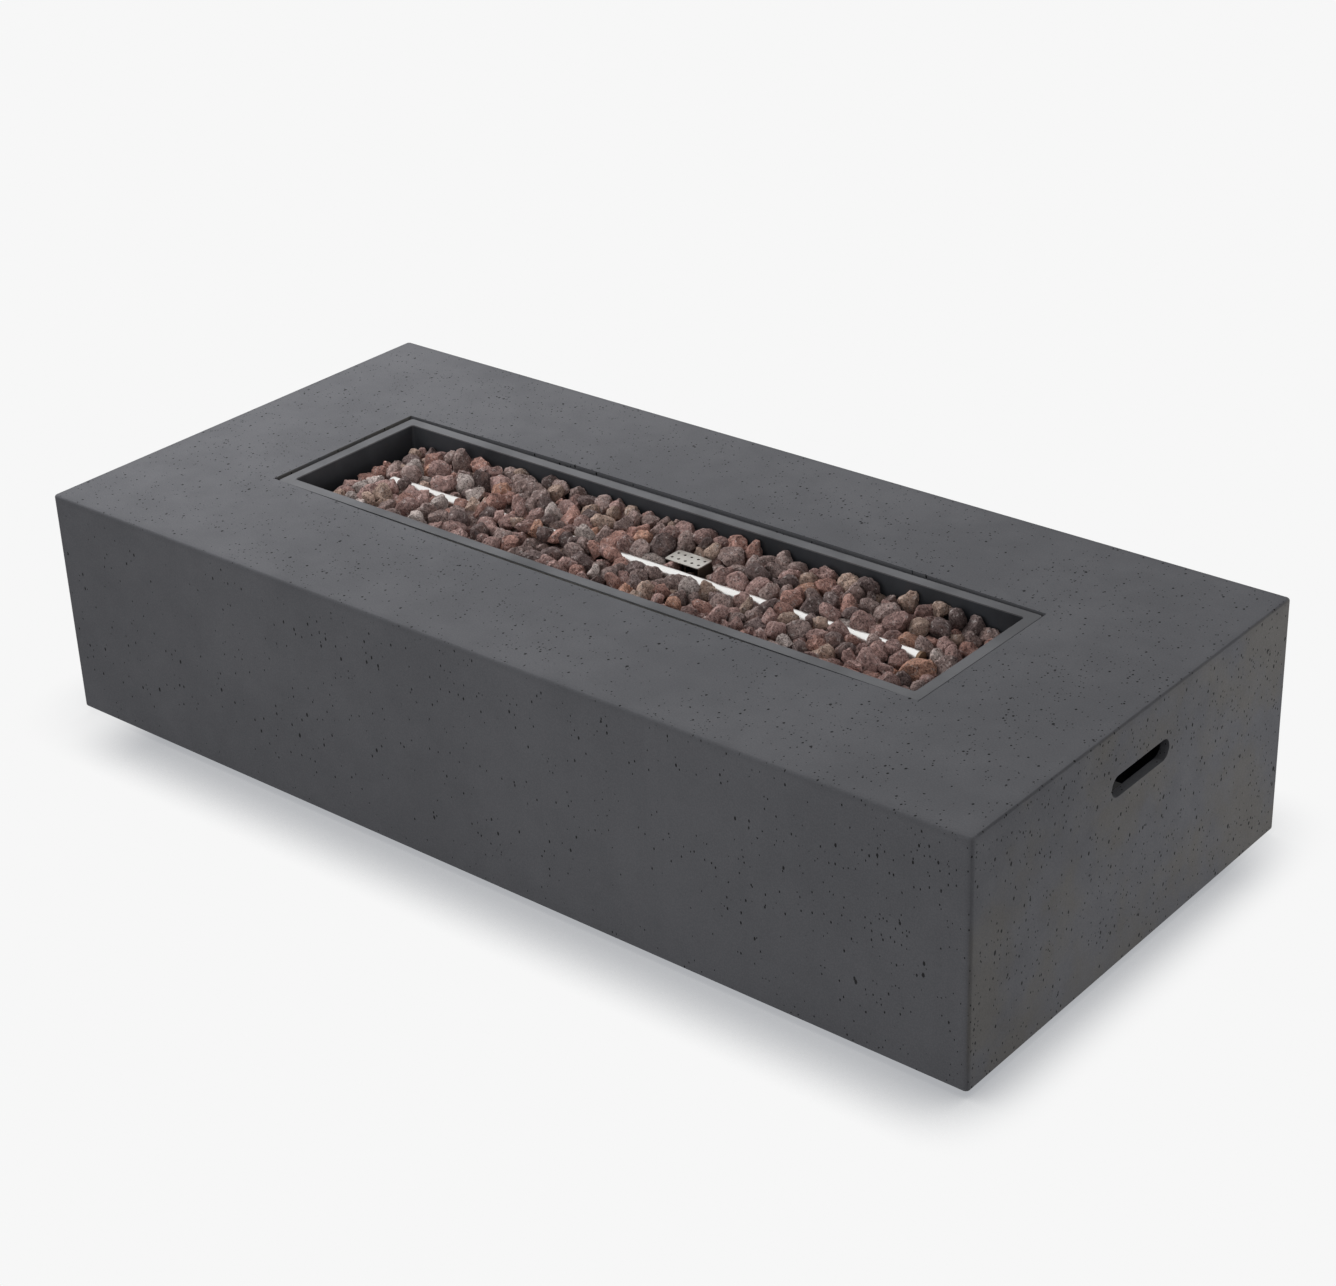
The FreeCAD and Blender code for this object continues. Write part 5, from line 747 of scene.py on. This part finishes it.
class FIREPIT_OT_lava_rock(Operator):
    """Fill the burner pan with loose lava rock"""
    bl_idname = "firepit.lava_rock"
    bl_label = "Lava rock"

    def execute(self, context):
        look = context.scene.firepit_rock
        spots, radii, given, draw = settle_rocks(look)
        shapes = [rock_shape(number, draw, SHOWN_FACES) for number in range(ROCK_SHAPES)]
        plain_shapes = [rock_shape(number, draw, HIDDEN_FACES) for number in range(HIDDEN_SHAPES)]
        tones = np.array([tone for tone, _ in ROCK_TONES])
        shares = np.array([share for _, share in ROCK_TONES])
        shares = shares / shares.sum()
        groups = {}
        bed_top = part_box("lava_lower_layer")[1][2] + BED_MARGIN
        for number, (spot, radius) in enumerate(zip(spots, radii)):
            drawn = draw.choice(len(tones), p=shares)
            tone = tones[given.get(number, drawn)] * draw.uniform(0.78, 1.22)
            shape = shapes[number % ROCK_SHAPES]
            if spot[2] + radius < bed_top:
                group = "lava_lower_layer"
                shape = plain_shapes[number % HIDDEN_SHAPES]
            else:
                face = "front" if spot[1] < 0.0 else "rear"
                stretch = "left" if spot[0] < 0.0 else "right"
                group = f"lava_rocks_{face}_{stretch}"
            piece = rock_copy(shape, spot, radius, draw, tone)
            groups.setdefault(group, []).append(piece)
        material = rock_finish()
        for node, pieces in groups.items():
            keep(joined(pieces), node.replace("lava", "loose"), material, stands_for=[node])
        for mesh in shapes + plain_shapes:
            bpy.data.meshes.remove(mesh)
        return {"FINISHED"}


# Leads under the pan

# Each lead's upper end, rear end, corners as shares of the way and a drop, and level run into its rear end
WIRE_ROUTE = ((0.052, 0.050, 0.300), (0.222, 0.3055, 0.215),
              ((0.0, 0.0, 0.030), (0.26, 0.204, 0.056), (0.66, 0.5, 0.070)), 0.056)
SENSOR_ROUTE = ((0.068, 0.050, 0.300), (0.147, 0.3235, 0.226),
                ((0.0, 0.0, 0.022), (0.25, 0.175, 0.034), (0.82, 0.475, 0.046)), 0.070)
WIRE_RADIUS = 0.0016
SENSOR_RADIUS = 0.0015


def lead_piece(name, points, radius):
    """A round flexible lead that follows a smooth line through its route."""
    deselect()
    bpy.ops.curve.primitive_nurbs_path_add(location=(0.0, 0.0, 0.0))
    piece = bpy.context.object
    curve = piece.data
    curve.splines.clear()
    spline = curve.splines.new("NURBS")
    spline.points.add(len(points) - 1)
    for knot, point in zip(spline.points, points):
        knot.co = (*point, 1.0)
    spline.order_u = 3
    spline.use_endpoint_u = True
    curve.resolution_u = 14
    curve.bevel_depth = radius
    curve.bevel_resolution = 4
    curve.use_fill_caps = True
    bpy.ops.object.convert(target="MESH")
    piece = bpy.context.object
    bpy.ops.object.mode_set(mode="EDIT")
    bpy.ops.mesh.select_all(action="SELECT")
    bpy.ops.mesh.remove_doubles(threshold=1e-6)
    bpy.ops.mesh.normals_make_consistent(inside=False)
    bpy.ops.object.mode_set(mode="OBJECT")
    bpy.ops.object.shade_smooth_by_angle(angle=math.radians(40.0))
    piece.name = name
    return piece


def hung_points(start, end, corners, run):
    """The route's points: down from its upper end, through its corners, level into its rear end."""
    start, end = Vector(start), Vector(end)
    points = [start]
    for along, across, drop in corners:
        points.append(Vector((start.x + along * (end.x - start.x), start.y + across * (end.y - start.y),
                              start.z - drop)))
    points.append(end - Vector((0.0, run, 0.0)))
    points.append(end)
    return points


class FIREPIT_OT_leads(Operator):
    """Run the igniter's wire and the flame sensor's lead"""
    bl_idname = "firepit.leads"
    bl_label = "Leads"

    def execute(self, context):
        look = context.scene.firepit_metal
        red = moulded_finish("red_silicone", (0.36, 0.030, 0.022), 0.42, 300.0, 0.00005, 0.15)
        copper = metal_finish("copper_lead", look.copper, 0.30, 0.48, soil=0.25)
        wire = lead_piece("igniter_wire", hung_points(*WIRE_ROUTE), WIRE_RADIUS)
        keep(wire, "igniter_wire", red, stands_for=["ignition_wire"])
        lead = lead_piece("sensor_lead", hung_points(*SENSOR_ROUTE), SENSOR_RADIUS)
        keep(lead, "sensor_lead", copper, stands_for=["thermocouple_lead"])
        return {"FINISHED"}


# Finishes of the parts

EVEN_GRAIN = (1.0, 1.0, 1.0)
# Each metal's colour in the look, roughness from and to, grain, spread, soil and whether it gets soot with
# painted shade below the hood's top
METALS = {
    "bright_stainless": ("bright", 0.22, 0.32, (0.4, 8.0, 8.0), 0.06),
    "stainless": ("stainless", 0.34, 0.46, (1.0, 6.0, 6.0), 0.10, 0.10, True),
    "zinc_steel": ("zinc", 0.30, 0.46, EVEN_GRAIN, 0.22, 0.12),
    "brass": ("brass", 0.26, 0.42, EVEN_GRAIN, 0.20, 0.15),
    "cast_valve": ("casting", 0.46, 0.62, EVEN_GRAIN, 0.20, 0.10),
}
# Each moulding's colour, roughness, grain, its depth, dust and gloss level
MOULDINGS = {
    "black_paint": ((0.020, 0.020, 0.021), 0.48, 950.0, 0.00010, 0.10),
    "rubber": ((0.020, 0.019, 0.018), 0.86, 1300.0, 0.00015, 0.30, 0.25),
    "black_plastic": ((0.016, 0.016, 0.017), 0.40, 1600.0, 0.00006, 0.08),
}


class FIREPIT_OT_concrete(Operator):
    """Finish the cast shell"""
    bl_idname = "firepit.concrete"
    bl_label = "Cast shell"

    def execute(self, context):
        dress({"concrete": concrete_finish(context.scene.firepit_concrete)})
        return {"FINISHED"}


class FIREPIT_OT_pan(Operator):
    """Finish the burner pan and the strip under its rim"""
    bl_idname = "firepit.pan"
    bl_label = "Burner pan"

    def execute(self, context):
        dress({"pan_paint": pan_finish(context.scene.firepit_metal), "fibre_strip": fibre_finish()})
        return {"FINISHED"}


class FIREPIT_OT_metalwork(Operator):
    """Finish the burner, the pilot, the gas fittings and the fasteners"""
    bl_idname = "firepit.metalwork"
    bl_label = "Metalwork"

    def execute(self, context):
        look = context.scene.firepit_metal
        finishes = {slot: metal_finish(slot, getattr(look, colour), *rest)
                    for slot, (colour, *rest) in METALS.items()}
        dress({**finishes, "heat_tinted_steel": heated_finish(look)})
        return {"FINISHED"}


class FIREPIT_OT_mouldings(Operator):
    """Finish the knob, the button, the feet's pads, the insulator and the battery"""
    bl_idname = "firepit.mouldings"
    bl_label = "Mouldings"

    def execute(self, context):
        finishes = {slot: moulded_finish(slot, *settings) for slot, settings in MOULDINGS.items()}
        dress({**finishes, "porcelain": porcelain_finish(),
               "battery_wrap": battery_finish(context.scene.firepit_metal)})
        return {"FINISHED"}


# Dial

# Each word and its turn from the top in degrees, clockwise as seen from the rear
DIAL_WORDS = (("OFF", 0.0), ("HI", 90.0), ("LO", 210.0))
DIAL_TURN, TICK_STEP, LONG_STEP = 210, 15, 30
KNOB_AXIS = (0.138, 0.215)
DIAL_REACH = 0.0285
WORD_SPREAD = 0.004  # further out for a word beside the knob
WORD_SIZE = 0.0072
TICK_REACH = 0.0208
TICK_WIDTH, LONG_TICK, SHORT_TICK = 0.0011, 0.0034, 0.0020
MARK_THICK = 0.00025


def dial_word(text, turn, centre):
    """One word on the box's floor, outside the knob's skirt, reading upright from the rear."""
    deselect()
    bpy.ops.object.text_add(location=(0.0, 0.0, 0.0))
    word = bpy.context.object
    word.data.body = text
    word.data.size = WORD_SIZE
    word.data.align_x = "CENTER"
    word.data.align_y = "CENTER"
    word.data.extrude = MARK_THICK / 2
    word.data.resolution_u = 4
    bpy.ops.object.convert(target="MESH")
    word = bpy.context.object
    aside = math.sin(math.radians(turn))
    side = aside * (DIAL_REACH + WORD_SPREAD * abs(aside))
    rise = math.cos(math.radians(turn)) * DIAL_REACH
    word.rotation_euler = (math.pi / 2, 0.0, math.pi)
    word.location = centre + Vector((-side, MARK_THICK / 2, rise))
    apply_place(word)
    return word


def dial_tick(turn, centre, length):
    """A short bar that points at the knob, raised from the box's floor."""
    deselect()
    bpy.ops.mesh.primitive_plane_add(size=1.0, location=(0.0, 0.0, 0.0),
                                     rotation=(-math.pi / 2, 0.0, 0.0))
    tick = bpy.context.object
    tick.scale = (TICK_WIDTH, length, 1.0)
    apply_place(tick)
    bpy.ops.object.mode_set(mode="EDIT")
    bpy.ops.mesh.select_all(action="SELECT")
    bpy.ops.mesh.extrude_region_move(TRANSFORM_OT_translate={"value": (0.0, MARK_THICK, 0.0)})
    bpy.ops.mesh.select_all(action="SELECT")
    bpy.ops.mesh.normals_make_consistent(inside=False)
    bpy.ops.object.mode_set(mode="OBJECT")
    angle = math.radians(turn)
    tick.rotation_euler = (0.0, -angle, 0.0)
    tick.location = centre + Vector((-math.sin(angle) * TICK_REACH, 0.0, math.cos(angle) * TICK_REACH))
    apply_place(tick)
    return tick


class FIREPIT_OT_dial(Operator):
    """Print the words and ticks round the control knob"""
    bl_idname = "firepit.dial"
    bl_label = "Dial"

    def execute(self, context):
        centre = Vector((KNOB_AXIS[0], BOX_LOW[1] + PLATE_SHEET, KNOB_AXIS[1]))
        marks = [dial_word(text, turn, centre) for text, turn in DIAL_WORDS]
        for turn in range(0, DIAL_TURN + 1, TICK_STEP):
            length = LONG_TICK if turn % LONG_STEP == 0 else SHORT_TICK
            marks.append(dial_tick(float(turn), centre, length))
        keep(joined(marks), "dial_marks", print_finish())
        return {"FINISHED"}


# Studio

FLOOR_SIZE = 60.0
LAMP_AIM = Vector((0.0, 0.0, 0.2))
# Each lamp's place and the width of its disk
LAMPS = {"left_lamp": ((-2.2, 0.2, 2.2), 2.0), "front_lamp": ((0.5, -3.5, 1.6), 2.5),
         "end_lamp": ((2.6, 1.9, 0.7), 1.4)}


def seen_share(nodes, links):
    """1 for rays from the camera and in reflections or glass, 0 for the rays that light things."""
    path = nodes.new("ShaderNodeLightPath")
    share = path.outputs["Is Camera Ray"]
    for name in ("Is Glossy Ray", "Is Transmission Ray"):
        either = nodes.new("ShaderNodeMath")
        either.operation = "MAXIMUM"
        links.new(share, either.inputs[0])
        links.new(path.outputs[name], either.inputs[1])
        share = either.outputs[0]
    return share


def floor_material(look):
    """Even to the eye but for a soft shadow round the object, and duller as it lights the object's sides."""
    finish = Finish("studio_floor", Specular_IOR_Level=0.0, Roughness=1.0, Base_Color=look.bounce)
    x, y, _ = finish.axes()
    occlusion = finish.nodes.new("ShaderNodeAmbientOcclusion")
    occlusion.samples = 12
    occlusion.inputs["Distance"].default_value = look.shadow_reach
    open_share = finish.math("POWER", finish.ramp(occlusion.outputs["AO"], 0.30, 0.98, smooth=False), 2.2)
    # The shadow is weaker at the left end and the rear, and narrower at the right end
    half_length, half_width = float(SHELL_HIGH[0]), float(SHELL_HIGH[1])
    towards = finish.times(finish.ramp(x, -0.86, -0.70, 0.25, 1.0), finish.ramp(y, 0.41, 0.25, 0.45, 1.0))
    towards = finish.times(towards, finish.ramp(x, half_length + 0.110, half_length - 0.010))
    shadow_share = finish.times(finish.minus(1.0, open_share), towards)
    # Painted shade, dark under the hollow shell up to its walls
    past_end = finish.larger(finish.minus(x, half_length - SHELL_WALL), finish.minus(-half_length, x))
    past_side = finish.larger(finish.minus(y, half_width), finish.minus(SHELL_WALL - half_width, y))
    outside = finish.ramp(finish.larger(past_end, past_side), -0.003, 0.003)
    shade = finish.mix(shadow_share, look.floor, look.shadow)
    shade = finish.mix(outside, (0.02, 0.02, 0.02), shade)
    even = finish.nodes.new("ShaderNodeEmission")
    finish.links.new(shade, even.inputs["Color"])
    mix = finish.nodes.new("ShaderNodeMixShader")
    finish.links.new(seen_share(finish.nodes, finish.links), mix.inputs[0])
    finish.links.new(finish.shader.outputs[0], mix.inputs[1])
    finish.links.new(even.outputs[0], mix.inputs[2])
    finish.links.new(mix.outputs[0], finish.nodes["Material Output"].inputs["Surface"])
    return finish.material


def studio_world(look):
    """An even sky: white where it is seen or mirrored, weaker as a light."""
    world = bpy.data.worlds.new("studio_sky")
    world.use_nodes = True
    nodes, links = world.node_tree.nodes, world.node_tree.links
    backdrop = nodes["Background"]
    backdrop.inputs["Color"].default_value = (*look.floor, 1.0)
    backdrop.inputs["Strength"].default_value = 1.0
    sky = nodes.new("ShaderNodeBackground")
    sky.inputs["Color"].default_value = (1.0, 1.0, 1.0, 1.0)
    sky.inputs["Strength"].default_value = look.sky
    mix = nodes.new("ShaderNodeMixShader")
    links.new(seen_share(nodes, links), mix.inputs[0])
    links.new(sky.outputs[0], mix.inputs[1])
    links.new(backdrop.outputs[0], mix.inputs[2])
    links.new(mix.outputs[0], nodes["World Output"].inputs["Surface"])
    return world


class FIREPIT_OT_stage(Operator):
    """Set the floor, the light and the camera"""
    bl_idname = "firepit.stage"
    bl_label = "Studio"

    def execute(self, context):
        look = context.scene.firepit_studio
        scene = context.scene
        scene.view_settings.view_transform = "Standard"
        scene.world = studio_world(look)
        deselect()
        bpy.ops.mesh.primitive_plane_add(size=FLOOR_SIZE, location=(0.0, 0.0, 0.0))
        floor = context.object
        floor.name = "studio_floor"
        floor.data.materials.append(floor_material(look))
        for name, (place, size) in LAMPS.items():
            aim = (LAMP_AIM - Vector(place)).to_track_quat("-Z", "Y").to_euler()
            bpy.ops.object.light_add(type="AREA", location=place, rotation=aim)
            lamp = context.object
            lamp.name = f"studio_{name}"
            lamp.data.shape = "DISK"
            lamp.data.size = size
            lamp.data.energy = getattr(look, name)
            lamp.visible_glossy = False
        bpy.ops.object.camera_add(location=look.eye)
        camera = context.object
        camera.name = "studio_camera"
        turn, rise = look.azimuth, look.elevation
        ahead = Vector((-math.sin(turn) * math.cos(rise), math.cos(turn) * math.cos(rise),
                        -math.sin(rise)))
        level = Vector((math.cos(turn), math.sin(turn), 0.0))
        upward = level.cross(ahead)
        right = level * math.cos(look.roll) + upward * math.sin(look.roll)
        upward = right.cross(ahead)
        camera.rotation_euler = Matrix((right, upward, -ahead)).transposed().to_euler()
        camera.data.lens = look.lens
        camera.data.sensor_width = 36.0
        camera.data.clip_end = 200.0
        scene.camera = camera
        return {"FINISHED"}


# Panel and registration

GROUPS = {"firepit_concrete": ConcreteLook, "firepit_metal": MetalLook, "firepit_rock": RockLook,
          "firepit_studio": StudioLook}
OPERATORS = (FIREPIT_OT_stage, FIREPIT_OT_concrete, FIREPIT_OT_pan, FIREPIT_OT_metalwork,
             FIREPIT_OT_mouldings, FIREPIT_OT_leads, FIREPIT_OT_dial, FIREPIT_OT_lava_rock)


class FIREPIT_PT_sidebar(Panel):
    """The steps and settings of the fire pit table"""
    bl_idname = "FIREPIT_PT_sidebar"
    bl_label = "Fire pit table"
    bl_space_type = "VIEW_3D"
    bl_region_type = "UI"
    bl_category = "Fire pit"

    def draw(self, context):
        for operator in OPERATORS:
            self.layout.operator(operator.bl_idname)
        for group in GROUPS:
            look = getattr(context.scene, group)
            box = self.layout.box()
            for name in look.__annotations__:
                box.prop(look, name)


CLASSES = (*GROUPS.values(), *OPERATORS, FIREPIT_PT_sidebar)


def register():
    for entry in CLASSES:
        bpy.utils.register_class(entry)
    for name, group in GROUPS.items():
        setattr(bpy.types.Scene, name, PointerProperty(type=group))


def unregister():
    for name in GROUPS:
        delattr(bpy.types.Scene, name)
    for entry in reversed(CLASSES):
        bpy.utils.unregister_class(entry)


def main():
    register()
    for operator in OPERATORS:
        getattr(bpy.ops.firepit, operator.bl_idname.split(".")[1])()


if __name__ == "__main__":
    main()
